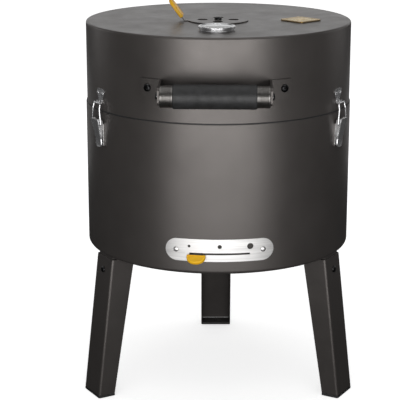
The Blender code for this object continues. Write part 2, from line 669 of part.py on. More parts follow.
def make_vent(axis, fittings):
    """Daisy disc on a centre bolt, with a bent tongue carrying a grip sleeve."""
    low = LID_TOP + GAP
    high = low + 0.0015
    radius = VENT_RADIUS
    disc = turned("vent_disc", [(0, high), (radius, high), (radius, low), (0, low)],
                  "powder_coat", axis, segments=40)
    disc.location = (VENT_CENTRE.x, VENT_CENTRE.y, 0)
    disc.matrix_parent_inverse = Matrix.Translation(-axis.location)
    tongue_half = 0.0108
    half_thickness = 0.00075
    rise = math.radians(54)
    bend = (-radius - 0.005, low + half_thickness)
    reach = 0.034
    tip = (bend[0] - reach * math.cos(rise), bend[1] + reach * math.sin(rise))
    normal = (half_thickness * math.sin(rise), half_thickness * math.cos(rise))
    miter = half_thickness * math.tan(rise / 2)
    outline = [(-radius + 0.010, low), (-radius + 0.010, high), (bend[0] + miter, high),
               (tip[0] + normal[0], tip[1] + normal[1]), (tip[0] - normal[0], tip[1] - normal[1]),
               (bend[0] - miter, low)]
    across = Matrix.Translation((0, VENT_CENTRE.y, 0)) @ Matrix.Rotation(math.pi / 2, 4, "X")
    tongue = flat_plate("vent_tongue", outline, 2 * tongue_half, across, cutter=True)
    hang_on(tongue, axis)
    weld(disc, tongue)
    for i in range(4):
        angle = math.radians(90 * i)
        centre = VENT_CENTRE + VENT_HOLE_DISTANCE * Vector((math.cos(angle), math.sin(angle), 0))
        hole = rod("disc_hole_cutter", centre - Vector((0, 0, 0.01)),
                   centre + Vector((0, 0, 0.01)), VENT_HOLE_RADIUS, cutter=True)
        hang_on(hole, axis)
        cut(disc, hole)
    pivot_hole = rod("disc_pivot_cutter", VENT_CENTRE - Vector((0, 0, 0.01)),
                     VENT_CENTRE + Vector((0, 0, 0.01)), 0.003 + GAP, cutter=True)
    hang_on(pivot_hole, axis)
    cut(disc, pivot_hole)
    along = (Matrix.Translation((bend[0], VENT_CENTRE.y, bend[1])) @ Matrix.Rotation(
        math.pi / 2, 4, "Z") @ Matrix.Rotation(rise, 4, "X"))
    sleeve_start = 0.007
    sleeve = make_grip_sleeve("vent_grip", 0.034, along @ Matrix.Translation((0, sleeve_start, 0)),
                              along, (tongue_half, 0.034, half_thickness), ASSEMBLY)
    for item in (sleeve, bpy.data.objects["vent_grip_pocket_cutter"]):
        hang_on(item, axis)
    bolt_frame = Matrix.Translation((0, VENT_CENTRE.y, high + GAP))
    domed_screw("vent_pivot_bolt", 0.0062, 0.0042, 0.003, 0.008, bolt_frame, "black_oxide",
                fittings)


def make_thermometer(fittings, needle_axis):
    base = LID_TOP + GAP
    top = base + 0.0068
    outer = THERMOMETER_RADIUS
    recess = outer - 0.003
    floor = top - 0.0045
    place = Matrix.Translation((0, -THERMOMETER_DISTANCE, 0))
    case = turned("thermometer_case",
                  [(0, floor), (recess, floor), (recess, top), (outer - 0.0012, top),
                   (outer, top - 0.0012), (outer, top - 0.0028), (outer - 0.001, top - 0.0033),
                   (outer - 0.001, base), (0, base)], "chrome", fittings, segments=40)
    dial = turned("thermometer_dial",
                  [(0, floor + 0.0009), (recess - GAP, floor + 0.0009),
                   (recess - GAP, floor + GAP), (0, floor + GAP)], "dial_white", fittings,
                  segments=40)
    lens = turned("thermometer_lens",
                  [(0, top - 0.0004), (recess - GAP, top - 0.0008),
                   (recess - GAP, top - 0.0018), (0, top - 0.0018)], "glass", fittings,
                  segments=40)
    nut_top = LID_TOP - LID_WALL - GAP
    stem = turned("thermometer_stem",
                  [(0, base - GAP), (0.004, base - GAP), (0.004, nut_top), (0.008, nut_top),
                   (0.008, nut_top - 0.004), (0.003, nut_top - 0.004), (0.003, 0.556),
                   (0, 0.554)], "stainless", fittings, segments=16)
    for item in (case, dial, lens, stem):
        item.matrix_basis = place
    needle_low = floor + 0.0009 + GAP
    needle_high = needle_low + 0.0006
    hub = turned("thermometer_needle", [(0, needle_high), (0.0028, needle_high),
                                        (0.0028, needle_low), (0, needle_low)],
                 "dial_red", needle_axis, segments=16)
    hub.matrix_basis = Matrix.Translation((0, -THERMOMETER_DISTANCE, 0))
    hub.matrix_parent_inverse = Matrix.Translation(-needle_axis.location)
    pointer = flat_plate("needle_pointer", [(-0.0009, -0.006), (0.0009, -0.006), (0.0003, 0.019),
                                            (-0.0003, 0.019)], needle_high - needle_low,
                         Matrix.Translation((0, -THERMOMETER_DISTANCE,
                                             (needle_low + needle_high) / 2))
                         @ Matrix.Rotation(math.radians(130), 4, "Z"), cutter=True)
    pointer.parent = needle_axis
    pointer.matrix_parent_inverse = Matrix.Translation(-needle_axis.location)
    weld(hub, pointer)


def make_badge(fittings):
    """Plain diamond plate with a step cut out of each corner."""
    half = 0.0245
    notch = 0.0035
    quarter = [(half, -half + notch), (half, half - notch), (half - notch, half - notch)]
    outline = []
    for i in range(4):
        turn = Matrix.Rotation(math.radians(90 * i), 2)
        outline += [tuple(turn @ Vector(point)) for point in quarter]
    frame = Matrix.Translation(BADGE_CENTRE + Vector((0, 0, GAP + 0.001))) @ Matrix.Rotation(
        math.radians(45), 4, "Z")
    flat_plate("badge_plate", outline, 0.002, frame, "gold", fittings)


# ---- Hinge ----------------------------------------------------------------------------
def make_hinge(lid_axis):
    """Three-knuckle butt hinge at the rear; the lid's leaf has the middle knuckle."""
    y, z = HINGE_AXIS.y, HINGE_AXIS.z
    knuckle_edges = {"lid": [(-0.0097, 0.0097)], "drum": [(-0.030, -0.010), (0.010, 0.030)]}
    leaves = {
        "drum": (DRUM_RADIUS + GAP, DRUM_RADIUS + 0.0023, z - 0.034, z - 0.0055),
        "lid": (LID_RADIUS + GAP, LID_RADIUS + 0.0023, z + 0.0055, z + 0.034),
    }
    bore = rod("hinge_bore_cutter", (-0.04, y, z), (0.04, y, z), 0.0025 + GAP, cutter=True)
    for owner, (inner, outer, low, high) in leaves.items():
        leaf = arc_plate("hinge_leaf_" + owner, inner, outer, 0.137, low, high, middle=math.pi,
                         segments=8, material="powder_coat")
        sign = 1 if owner == "lid" else -1
        edge = low if owner == "lid" else high
        for left, right in knuckle_edges[owner]:
            middle = (left + right) / 2
            outline = [(inner + 0.0005, edge + sign * 0.004), (inner + 0.0005, edge - sign * 0.0015),
                       (y + 0.001, z - sign * 0.0005), (y + KNUCKLE_RADIUS - 0.0005, z),
                       (inner + 0.0024, edge + sign * 0.004)]
            weld(leaf, flat_plate("hinge_web", outline, right - left, facing_side(middle),
                                  cutter=True))
            weld(leaf, rod("hinge_knuckle", (left, y, z), (right, y, z), KNUCKLE_RADIUS,
                           cutter=True))
        cut(leaf, bore)
        if owner == "lid":
            hang_on(leaf, lid_axis)
    builder = bmesh.new()
    add_rod(builder, (-0.033, y, z), (0.033, y, z), 0.0025, 16)
    pin = mesh_object("hinge_pin", builder, "stainless")
    for side in (-1, 1):
        head = rod("pin_head", (side * 0.0303, y, z), (side * 0.0323, y, z), 0.004, cutter=True)
        weld(pin, head)


# ---- Latches --------------------------------------------------------------------------
def make_latch(name, azimuth, lid_axis):
    """Toggle latch: base with ears, lever on a pin, wire bail, keeper on the lid."""
    station = make_empty("latch_station_" + name, azimuth=math.radians(azimuth), parent=ASSEMBLY)
    lever_axis = make_empty("latch_lever_axis_" + name, LEVER_PIVOT, parent=station)
    bail_axis = make_empty("latch_bail_axis_" + name, BAIL_PIVOT, parent=station)
    back = DRUM_RADIUS + GAP

    base = arc_plate("latch_base_" + name, back, back + 0.0012, 0.0535, LATCH_BASE_FOOT,
                     LATCH_BASE_TOP, segments=4, material="stainless", parent=station)
    pivot = (LEVER_PIVOT.y, LEVER_PIVOT.z)
    for side in (-1, 1):
        ear = [(-back - 0.0006, 0.4500), (-back - 0.0006, LATCH_BASE_TOP)]
        ear += arc_points(pivot, 0.0028, 120, 330, 8)
        weld(base, flat_plate("latch_ear", ear, 0.0012, facing_side(side * 0.0092),
                              parent=station, cutter=True))
    pin_bore = rod("latch_pin_bore_cutter", (-0.02, *pivot), (0.02, *pivot), 0.0015 + GAP,
                   parent=station, cutter=True)
    cut(base, pin_bore)

    pin = rod("latch_pin_" + name, (-0.0126, *pivot), (0.0126, *pivot), 0.0015, "stainless",
              station)
    sections = [(0.4687, 0.0110, 0.0085, 0.2320), (0.4678, 0.0120, 0.0085, 0.2319),
                (0.4600, 0.0117, 0.0085, 0.2303), (0.4510, 0.0107, 0.0065, 0.2286),
                (0.4400, 0.0102, 0.0040, 0.2263), (0.4355, 0.0094, 0.0025, 0.2254),
                (0.4320, 0.0098, 0.0020, 0.2249), (0.4275, 0.0100, 0.0020, 0.2248),
                (0.4245, 0.0084, 0.0019, 0.2250), (0.4228, 0.0054, 0.0018, 0.2252)]
    lever = channel("latch_lever_" + name, sections, 0.001, 0.0022, "chrome", station)
    hang_on(lever, lever_axis)
    cut(lever, pin_bore)
    eye = (BAIL_PIVOT.y, BAIL_PIVOT.z)
    cut(lever, rod("bail_bore_cutter", (-0.02, *eye), (0.02, *eye), WIRE_RADIUS + GAP,
                   parent=station, cutter=True))

    half_path = [(0.0103, *eye), (0.0140, *eye), (0.0147, eye[0], eye[1] + 0.0003),
                 (0.0150, eye[0], eye[1] + 0.0012), (0.0110, -0.2274, 0.4850),
                 (0.0103, BAIL_BAR.y, BAIL_BAR.z - 0.0020),
                 (0.0099, BAIL_BAR.y, BAIL_BAR.z - 0.0005), (0.0090, BAIL_BAR.y, BAIL_BAR.z)]
    path = half_path + [(-x, y, z) for x, y, z in reversed(half_path)]
    bail = wire("latch_bail_" + name, path, WIRE_RADIUS, "chrome", station)
    hang_on(bail, bail_axis)
    make_keeper(name, azimuth, lid_axis)


def make_keeper(name, azimuth, lid_axis):
    """Keeper plate on the lid with two rivets and an upturned hook for the bail."""
    back = LID_RADIUS + GAP
    turn = Matrix.Rotation(math.radians(azimuth), 4, "Z")
    plate = arc_plate("latch_keeper_" + name, back, back + 0.0012, 0.07, 0.495, 0.520,
                      segments=6, material="chrome")
    outline = [(-0.0058, 0.4960), (0.0058, 0.4960), (0.0062, 0.5000), (0.0108, 0.5070)]
    outline += arc_points((0.0072, 0.5120), 0.0048, 0, 90, 4)
    outline += arc_points((-0.0072, 0.5120), 0.0048, 90, 180, 4)
    outline += [(-0.0108, 0.5070), (-0.0062, 0.5000)]
    pieces = [plate, flat_plate("keeper_outline", outline, 0.05, facing_front(-0.22),
                                cutter=True)]
    boolean(plate, pieces[1], "INTERSECT")
    lip = -BAIL_BAR.y - WIRE_RADIUS - 0.0004
    wall = back + 0.0004
    hook = [(-wall, 0.4985), (-wall, 0.4930), (-lip, 0.4930), (-lip, 0.4985),
            (0.0011 - lip, 0.4985), (0.0011 - lip, 0.4942), (-wall - 0.0011, 0.4942),
            (-wall - 0.0011, 0.4985)]
    pieces.append(flat_plate("keeper_hook", hook, 0.0110, facing_side(0), cutter=True))
    weld(plate, pieces[2])
    for item in pieces:
        item.matrix_basis = turn
    for side in (-1, 1):
        around = side * math.asin(0.0078 / back)
        rivet = domed_screw("keeper_rivet", 0.0029, 0.0013, 0.0012, 0.0008,
                            turn @ outward(around, back + 0.0011, 0.5092), None, ASSEMBLY,
                            cutter=True)
        pieces.append(rivet)
        weld(plate, rivet)
    for item in pieces:
        hang_on(item, lid_axis)


def build():
    make_drum()
    make_grate_supports()
    make_grate("cooking_grate", GRATE_RADIUS, GRATE_HEIGHT, 0.0235)
    make_grate("charcoal_grate", COAL_GRATE_RADIUS, COAL_GRATE_HEIGHT, 0.0255)
    make_ash_tray()
    make_intake()
    for name, azimuth in LEG_AZIMUTHS.items():
        make_leg(name, azimuth)
    lid_axis = make_empty("lid_hinge_axis", HINGE_AXIS, parent=ASSEMBLY)
    fittings = make_empty("lid_fittings", -HINGE_AXIS, LID_TURN, parent=lid_axis)
    make_lid(lid_axis, fittings)
    make_handle(fittings)
    vent_axis = make_empty("vent_axis", (VENT_CENTRE.x, VENT_CENTRE.y, 0), parent=fittings)
    make_vent(vent_axis, fittings)
    needle_axis = make_empty("needle_axis", (0, -THERMOMETER_DISTANCE, 0), parent=fittings)
    make_thermometer(fittings, needle_axis)
    make_badge(fittings)
    make_hinge(lid_axis)
    for name, azimuth in LATCH_AZIMUTHS.items():
        make_latch(name, azimuth, lid_axis)


build()
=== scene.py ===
"""Looks of the upright barrel smoker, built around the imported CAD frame."""
import json
import math

import bmesh
import bpy
from mathutils import Matrix, Vector


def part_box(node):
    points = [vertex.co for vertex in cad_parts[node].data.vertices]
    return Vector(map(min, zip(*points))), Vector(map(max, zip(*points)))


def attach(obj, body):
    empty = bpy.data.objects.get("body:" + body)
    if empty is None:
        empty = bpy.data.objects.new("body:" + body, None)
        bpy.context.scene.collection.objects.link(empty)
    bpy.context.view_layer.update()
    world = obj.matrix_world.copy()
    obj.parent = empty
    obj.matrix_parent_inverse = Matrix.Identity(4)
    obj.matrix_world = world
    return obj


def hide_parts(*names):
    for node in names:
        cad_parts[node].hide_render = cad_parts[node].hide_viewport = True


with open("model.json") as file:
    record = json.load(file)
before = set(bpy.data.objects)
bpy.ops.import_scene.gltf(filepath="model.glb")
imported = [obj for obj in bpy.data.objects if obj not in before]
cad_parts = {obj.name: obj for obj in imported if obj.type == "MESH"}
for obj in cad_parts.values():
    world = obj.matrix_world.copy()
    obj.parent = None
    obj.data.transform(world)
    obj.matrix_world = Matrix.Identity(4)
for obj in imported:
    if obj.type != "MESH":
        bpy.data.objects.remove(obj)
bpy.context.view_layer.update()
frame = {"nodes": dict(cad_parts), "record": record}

# ---- Places and sizes read from the frame ----
GAP = 0.0003
LOW = {name: Vector(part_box(name)[0]) for name in frame["nodes"]}
HIGH = {name: Vector(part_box(name)[1]) for name in frame["nodes"]}


def shift(offset):
    return Matrix.Translation(offset)


def about(axis, angle):
    return Matrix.Rotation(angle, 4, axis)


def centre(node):
    return (LOW[node] + HIGH[node]) / 2


def azimuth_of(node):
    """Azimuth of a node's centre about the drum's axis; 0 is the front, positive to +X."""
    offset = centre(node) - AXIS
    return math.atan2(offset.x, -offset.y)


def distance_of(node):
    offset = centre(node) - AXIS
    return math.hypot(offset.x, offset.y)


AXIS = Vector((centre("drum_shell").x, centre("drum_shell").y, 0))
DRUM_RADIUS = (HIGH["drum_shell"].x - LOW["drum_shell"].x) / 2
DRUM_WALL = 0.0012
DRUM_BOTTOM = LOW["drum_shell"].z
SEAM = HIGH["drum_shell"].z
LID_RADIUS = (HIGH["lid_shell"].x - LOW["lid_shell"].x) / 2
LID_WALL = 0.0012
LID_TOP = HIGH["lid_shell"].z
LID_SKIRT = LOW["lid_shell"].z
LID_TURN = azimuth_of("thermometer_case")
STEEL = "powder_coat"


def station(azimuth=0.0):
    """Frame at the drum's axis whose -Y points outward at this azimuth."""
    return shift(AXIS) @ about("Z", azimuth)


FITTINGS = station(LID_TURN)

# ---- Materials ----


class Shader:
    """Small helper for building a node material."""

    def __init__(self, name):
        self.material = bpy.data.materials.new(name)
        self.material.use_nodes = True
        self.tree = self.material.node_tree
        self.bsdf = self.tree.nodes["Principled BSDF"]
        self.place = self.add("ShaderNodeTexCoord").outputs["Object"]

    def add(self, kind, **settings):
        node = self.tree.nodes.new(kind)
        for key, value in settings.items():
            setattr(node, key, value)
        return node

    def link(self, output, socket):
        self.tree.links.new(output, socket)

    def stretched(self, scale):
        mapping = self.add("ShaderNodeMapping")
        mapping.inputs["Scale"].default_value = scale
        self.link(self.place, mapping.inputs["Vector"])
        return mapping.outputs["Vector"]

    def noise(self, scale, detail=4.0, stretch=None, roughness=0.55):
        node = self.add("ShaderNodeTexNoise")
        node.inputs["Scale"].default_value = scale
        node.inputs["Detail"].default_value = detail
        node.inputs["Roughness"].default_value = roughness
        self.link(self.stretched(stretch) if stretch else self.place, node.inputs["Vector"])
        return node.outputs["Fac"]

    def spots(self, scale, stretch=None):
        node = self.add("ShaderNodeTexVoronoi")
        node.inputs["Scale"].default_value = scale
        self.link(self.stretched(stretch) if stretch else self.place, node.inputs["Vector"])
        return node.outputs["Distance"]

    def to_range(self, source, low, high, from_low=0.3, from_high=0.7):
        node = self.add("ShaderNodeMapRange")
        node.inputs["From Min"].default_value = from_low
        node.inputs["From Max"].default_value = from_high
        node.inputs["To Min"].default_value = low
        node.inputs["To Max"].default_value = high
        self.link(source, node.inputs["Value"])
        return node.outputs["Result"]

    def blend(self, factor, first, second):
        """Colour between two colours (or sockets), by a factor socket."""
        node = self.add("ShaderNodeMix", data_type="RGBA")
        self.link(factor, node.inputs["Factor"])
        for value, socket in ((first, node.inputs[6]), (second, node.inputs[7])):
            if isinstance(value, tuple):
                socket.default_value = (*value, 1.0)
            else:
                self.link(value, socket)
        return node.outputs[2]

    def bump(self, source, strength, distance, previous=None):
        node = self.add("ShaderNodeBump")
        node.inputs["Strength"].default_value = strength
        node.inputs["Distance"].default_value = distance
        self.link(source, node.inputs["Height"])
        if previous:
            self.link(previous, node.inputs["Normal"])
        return node.outputs["Normal"]

    def set(self, **values):
        """Principled sockets: a number, a colour or a socket to link."""
        for key, value in values.items():
            socket = self.bsdf.inputs[key.replace("_", " ")]
            if isinstance(value, bpy.types.NodeSocket):
                self.link(value, socket)
            elif isinstance(value, tuple):
                socket.default_value = (*value, 1.0)
            else:
                socket.default_value = value


def lighter_convex_edges(shader, base, edge_tone, low=0.52, high=0.60):
    """Base colour, giving way to a lighter colour along convex edges."""
    edges = shader.add("ShaderNodeNewGeometry").outputs["Pointiness"]
    grain = shader.to_range(shader.noise(180.0), -0.04, 0.04)
    total = shader.add("ShaderNodeMath", operation="ADD")
    shader.link(edges, total.inputs[0])
    shader.link(grain, total.inputs[1])
    return shader.blend(shader.to_range(total.outputs[0], 0.0, 1.0, low, high), base, edge_tone)


def make_powder_coat():
    """Warm dark grey powder coat: fine orange-peel, metallic fleck, faint handling marks."""
    shader = Shader("powder_coat_look")
    cloud = shader.to_range(shader.noise(7.0, 5.0), 0.0, 1.0)
    tone = shader.blend(cloud, (0.098, 0.089, 0.084), (0.112, 0.102, 0.097))
    fleck = shader.to_range(shader.spots(1500.0), 1.0, 0.0, 0.05, 0.22)
    flecked = shader.blend(fleck, tone, (0.175, 0.160, 0.150))
    peel = shader.noise(850.0, 3.0)
    marks = shader.to_range(shader.noise(22.0, 6.0, roughness=0.65), 0.33, 0.43)
    shader.set(Base_Color=flecked, Metallic=0.62, Roughness=marks, Specular_IOR_Level=0.5,
               Normal=shader.bump(peel, 0.16, 0.0003))
    return shader.material


def make_brushed(name, colour, dark, roughness, stretch, strength=0.25):
    """Brushed metal: fine lines along the surface, with light and dark streaks."""
    shader = Shader(name)
    lines = shader.noise(260.0, 5.0, stretch, 0.7)
    broad = shader.noise(40.0, 3.0, stretch, 0.6)
    tone = shader.blend(shader.to_range(lines, 0.0, 1.0), dark, colour)
    rough = shader.to_range(broad, roughness * 0.8, roughness * 1.3)
    shader.set(Base_Color=tone, Metallic=1.0, Roughness=rough,
               Normal=shader.bump(lines, strength, 0.0002))
    return shader.material


def make_chrome():
    """Plated wire and sheet: bright, with faint smudges and hairline scratches."""
    shader = Shader("chrome_look")
    smudge = shader.to_range(shader.noise(60.0, 6.0), 0.14, 0.30)
    scratch = shader.noise(420.0, 4.0, (1.0, 1.0, 0.06), 0.6)
    tone = shader.blend(shader.to_range(shader.noise(25.0), 0.0, 1.0), (0.66, 0.66, 0.67),
                        (0.78, 0.78, 0.79))
    shader.set(Base_Color=tone, Metallic=0.85, Roughness=smudge,
               Normal=shader.bump(scratch, 0.06, 0.0001))
    return shader.material


def make_grip():
    """Black foam-rubber sleeve: fine pores and faint lengthwise moulding lines."""
    shader = Shader("grip_look")
    pores = shader.spots(900.0)
    lines = shader.noise(300.0, 3.0, (0.05, 1.0, 1.0), 0.5)
    tone = shader.blend(shader.to_range(shader.noise(90.0, 5.0), 0.0, 1.0),
                        (0.012, 0.012, 0.012), (0.024, 0.024, 0.025))
    first = shader.bump(pores, 0.35, 0.0003)
    shader.set(Base_Color=tone, Metallic=0.0, Specular_IOR_Level=0.45,
               Roughness=shader.to_range(shader.noise(140.0), 0.44, 0.58),
               Normal=shader.bump(lines, 0.18, 0.0003, first))
    return shader.material


def make_mottled(name, tones, tone_noise, roughness, relief, **fixed):
    """Skin between two tones; roughness: (noise scale, low, high); relief: (scale, strength,
    depth)."""
    shader = Shader(name)
    tone = shader.blend(shader.to_range(shader.noise(*tone_noise), 0.0, 1.0), *tones)
    rough_scale, low, high = roughness
    relief_scale, strength, depth = relief
    shader.set(Base_Color=tone, Roughness=shader.to_range(shader.noise(rough_scale), low, high),
               Normal=shader.bump(shader.noise(relief_scale), strength, depth), **fixed)
    return shader.material


def make_black_screw():
    shader = Shader("black_screw_look")
    tone = lighter_convex_edges(shader, (0.018, 0.018, 0.019), (0.22, 0.22, 0.22), 0.53, 0.62)
    shader.set(Base_Color=tone, Metallic=0.9,
               Roughness=shader.to_range(shader.noise(400.0), 0.22, 0.38),
               Normal=shader.bump(shader.noise(1200.0), 0.15, 0.0001))
    return shader.material


def make_painted(name, colour, roughness):
    """Smooth paint with a slight mottling, for the dial and its marks."""
    shade = tuple(value * 0.88 for value in colour)
    return make_mottled(name, (colour, shade), (150.0, 4.0),
                        (300.0, roughness * 0.85, roughness * 1.15), (900.0, 0.06, 0.0001))


def make_glass():
    shader = Shader("lens_look")
    smear = shader.to_range(shader.noise(90.0, 4.0), 0.02, 0.06)
    shader.set(Base_Color=(0.95, 0.97, 0.98), Roughness=smear, Transmission_Weight=1.0, IOR=1.45,
               Normal=shader.bump(shader.noise(60.0), 0.02, 0.0001))
    return shader.material


LOOKS = {
    "powder_coat": make_powder_coat(),
    "stainless": make_brushed("stainless_look", (0.90, 0.89, 0.88), (0.66, 0.65, 0.64), 0.40,
                              (0.03, 0.03, 1.0)),
    "chrome": make_chrome(),
    "black_oxide": make_black_screw(),
    "black_grip": make_grip(),
    "black_plastic": make_mottled("plastic_look", ((0.014, 0.014, 0.014), (0.032, 0.031, 0.030)),
                                  (120.0, 5.0), (60.0, 0.50, 0.68), (700.0, 0.25, 0.0003)),
    "yellow_silicone": make_mottled("silicone_look", ((0.90, 0.46, 0.008), (0.98, 0.56, 0.014)),
                                    (70.0, 4.0), (200.0, 0.34, 0.46), (600.0, 0.10, 0.0002),
                                    Specular_IOR_Level=0.45),
    "gold": make_brushed("gold_look", (0.90, 0.72, 0.44), (0.70, 0.52, 0.28), 0.36,
                         (0.04, 1.0, 1.0), 0.15),
    "dial_white": make_painted("dial_look", (0.80, 0.80, 0.77), 0.45),
    "dial_red": make_painted("dial_red_look", (0.55, 0.03, 0.02), 0.35),
    "glass": make_glass(),
    "plain_steel": make_brushed("steel_look", (0.27, 0.26, 0.25), (0.17, 0.16, 0.15), 0.34,
                                (0.04, 1.0, 1.0), 0.2),
}
# Dark steel for the shutter behind the intake: painted shade, so that the air holes read dark.
SHUTTER_SHADE = make_mottled("shutter_shade_look", ((0.030, 0.027, 0.025), (0.085, 0.078, 0.072)), (60.0, 6.0),
                    (120.0, 0.50, 0.72), (800.0, 0.2, 0.0002), Metallic=0.5)
INK = make_painted("dial_ink_look", (0.03, 0.03, 0.03), 0.5)

# ---- Modelling helpers ----


def arc_points(middle, radius, start, end, steps):
    """Points along an arc, both ends included; angles in degrees."""
    angles = [math.radians(start + (end - start) * i / steps) for i in range(steps + 1)]
    return [(middle[0] + radius * math.cos(a), middle[1] + radius * math.sin(a))
            for a in angles]


def as_object(name, builder):
    bmesh.ops.recalc_face_normals(builder, faces=builder.faces)
    mesh = bpy.data.meshes.new(name)
    builder.to_mesh(mesh)
    builder.free()
    item = bpy.data.objects.new(name, mesh)
    bpy.context.scene.collection.objects.link(item)
    return item


def settle(item, crease=30.0):
    """Replace the mesh by its evaluated form, drop modifiers, smooth all but sharp edges."""
    depsgraph = bpy.context.evaluated_depsgraph_get()
    mesh = bpy.data.meshes.new_from_object(item.evaluated_get(depsgraph))
    old = item.data
    item.modifiers.clear()
    item.data = mesh
    bpy.data.meshes.remove(old)
    mesh.shade_smooth()
    mesh.set_sharp_from_angle(angle=math.radians(crease))
    return item


def combine(item, others, operation):
    """Boolean the others into or out of an item, and remove them."""
    for other in others:
        modifier = item.modifiers.new("boolean", "BOOLEAN")
        modifier.operation = operation
        modifier.object = other
        modifier.solver = "EXACT"
    settle(item)
    for other in others:
        bpy.data.objects.remove(other, do_unlink=True)
    return item


def cut(item, *others):
    return combine(item, others, "DIFFERENCE")


def weld(item, *others):
    return combine(item, others, "UNION")


def join(item, others):
    """Bring the others' meshes into the item's, and remove them."""
    builder = bmesh.new()
    for piece in (item, *others):
        builder.from_mesh(piece.data)
    builder.to_mesh(item.data)
    builder.free()
    for other in others:
        bpy.data.objects.remove(other, do_unlink=True)
    return settle(item)


def soften(item, width, segments=2, angle=40.0):
    """Round the item's sharp edges."""
    bevel = item.modifiers.new("soft_edges", "BEVEL")
    bevel.width = width
    bevel.segments = segments
    bevel.limit_method = "ANGLE"
    bevel.angle_limit = math.radians(angle)
    bevel.harden_normals = False
    return settle(item)


def turned(name, profile, closed=False, segments=96):
    """Turned piece: (radius, height) points run down the outer side, top to bottom."""
    builder = bmesh.new()
    points = [builder.verts.new((radius, 0, height)) for radius, height in profile]
    for first, second in zip(points, points[1:]):
        builder.edges.new((first, second))
    if closed:
        builder.edges.new((points[-1], points[0]))
    mesh = bpy.data.meshes.new(name)
    builder.to_mesh(mesh)
    builder.free()
    item = bpy.data.objects.new(name, mesh)
    bpy.context.scene.collection.objects.link(item)
    screw = item.modifiers.new("turn", "SCREW")
    screw.steps = segments
    screw.render_steps = segments
    screw.use_merge_vertices = True
    screw.merge_threshold = 0.00001
    return settle(item)


def add_rod(builder, start, end, radius, segments):
    start, end = Vector(start), Vector(end)
    direction = end - start
    turn = Vector((0, 0, 1)).rotation_difference(direction).to_matrix().to_4x4()
    bmesh.ops.create_cone(builder, cap_ends=True, segments=segments, radius1=radius,
                          radius2=radius, depth=direction.length,
                          matrix=shift((start + end) / 2) @ turn)


def rod(name, start, end, radius, segments=32):
    builder = bmesh.new()
    add_rod(builder, start, end, radius, segments)
    return settle(as_object(name, builder))


def upright_bore(spot, radius, segments=32):
    return rod("bore", spot - Vector((0, 0, 0.01)), spot + Vector((0, 0, 0.01)), radius, segments)


def cross_bore(point, radius):
    """Cutter along X through a (y, z) point."""
    return rod("bore", (-0.02, *point), (0.02, *point), radius)


def box(name, low, high):
    low, high = Vector(low), Vector(high)
    builder = bmesh.new()
    bmesh.ops.create_cube(builder, size=1.0)
    bmesh.ops.scale(builder, vec=high - low, verts=builder.verts)
    bmesh.ops.translate(builder, vec=(low + high) / 2, verts=builder.verts)
    return as_object(name, builder)


def arc_plate(name, inner, outer, half_angle, low, high, middle=0.0, segments=48):
    """Curved strip of the drum's wall: a rectangle spun about the drum's axis."""
    builder = bmesh.new()
    corners = ((inner, low), (outer, low), (outer, high), (inner, high))
    face = builder.faces.new([builder.verts.new((0, -radius, height))
                              for radius, height in corners])
    start = Matrix.Rotation(middle - half_angle, 3, "Z")
    bmesh.ops.rotate(builder, cent=(0, 0, 0), matrix=start, verts=builder.verts)
    bmesh.ops.spin(builder, geom=[face] + face.edges[:] + face.verts[:], cent=(0, 0, 0),
                   axis=(0, 0, 1), angle=2 * half_angle, steps=segments)
    return settle(as_object(name, builder))


def curve_mesh(name, curve, points, cyclic):
    spline = curve.splines.new("POLY")
    spline.points.add(len(points) - 1)
    for point, place in zip(spline.points, points):
        point.co = (*place, 0, 1) if len(place) == 2 else (*place, 1)
    spline.use_cyclic_u = cyclic
    guide = bpy.data.objects.new(name + "_path", curve)
    bpy.context.scene.collection.objects.link(guide)
    depsgraph = bpy.context.evaluated_depsgraph_get()
    mesh = bpy.data.meshes.new_from_object(guide.evaluated_get(depsgraph))
    bpy.data.objects.remove(guide, do_unlink=True)
    builder = bmesh.new()
    builder.from_mesh(mesh)
    bpy.data.meshes.remove(mesh)
    bmesh.ops.remove_doubles(builder, verts=builder.verts, dist=0.00001)
    return builder


def flat_plate(name, outline, thickness, place):
    """Flat outline, extruded; place puts its XY plane in the station's frame."""
    curve = bpy.data.curves.new(name, "CURVE")
    curve.dimensions = "2D"
    curve.fill_mode = "BOTH"
    curve.extrude = thickness / 2
    builder = curve_mesh(name, curve, outline, True)
    bmesh.ops.dissolve_limit(builder, angle_limit=math.radians(0.5), verts=builder.verts,
                             edges=builder.edges)
    bmesh.ops.transform(builder, matrix=place, verts=builder.verts)
    return settle(as_object(name, builder))


def wire(name, points, radius, resolution=6):
    """Round wire along a path of points."""
    curve = bpy.data.curves.new(name, "CURVE")
    curve.dimensions = "3D"
    curve.bevel_depth = radius
    curve.bevel_resolution = resolution
    curve.use_fill_caps = True
    return settle(as_object(name, curve_mesh(name, curve, points, False)))


def rounded_path(points, radius, steps=6):
    """Path with each inner corner replaced by an arc-like curve."""
    points = [Vector(point) for point in points]
    path = [points[0]]
    for before, corner, after in zip(points, points[1:], points[2:]):
        reach = min(radius, (before - corner).length / 2, (after - corner).length / 2)
        start = corner + (before - corner).normalized() * reach
        end = corner + (after - corner).normalized() * reach
        for i in range(steps + 1):
            t = i / steps
            path.append((1 - t) ** 2 * start + 2 * t * (1 - t) * corner + t * t * end)
    path.append(points[-1])
    return path


def facing_front(y):
    return shift((0, y, 0)) @ about("X", math.pi / 2)


def facing_side(x):
    return shift((x, 0, 0)) @ Matrix(((0, 0, 1, 0), (1, 0, 0, 0), (0, 1, 0, 0),
                                                   (0, 0, 0, 1)))


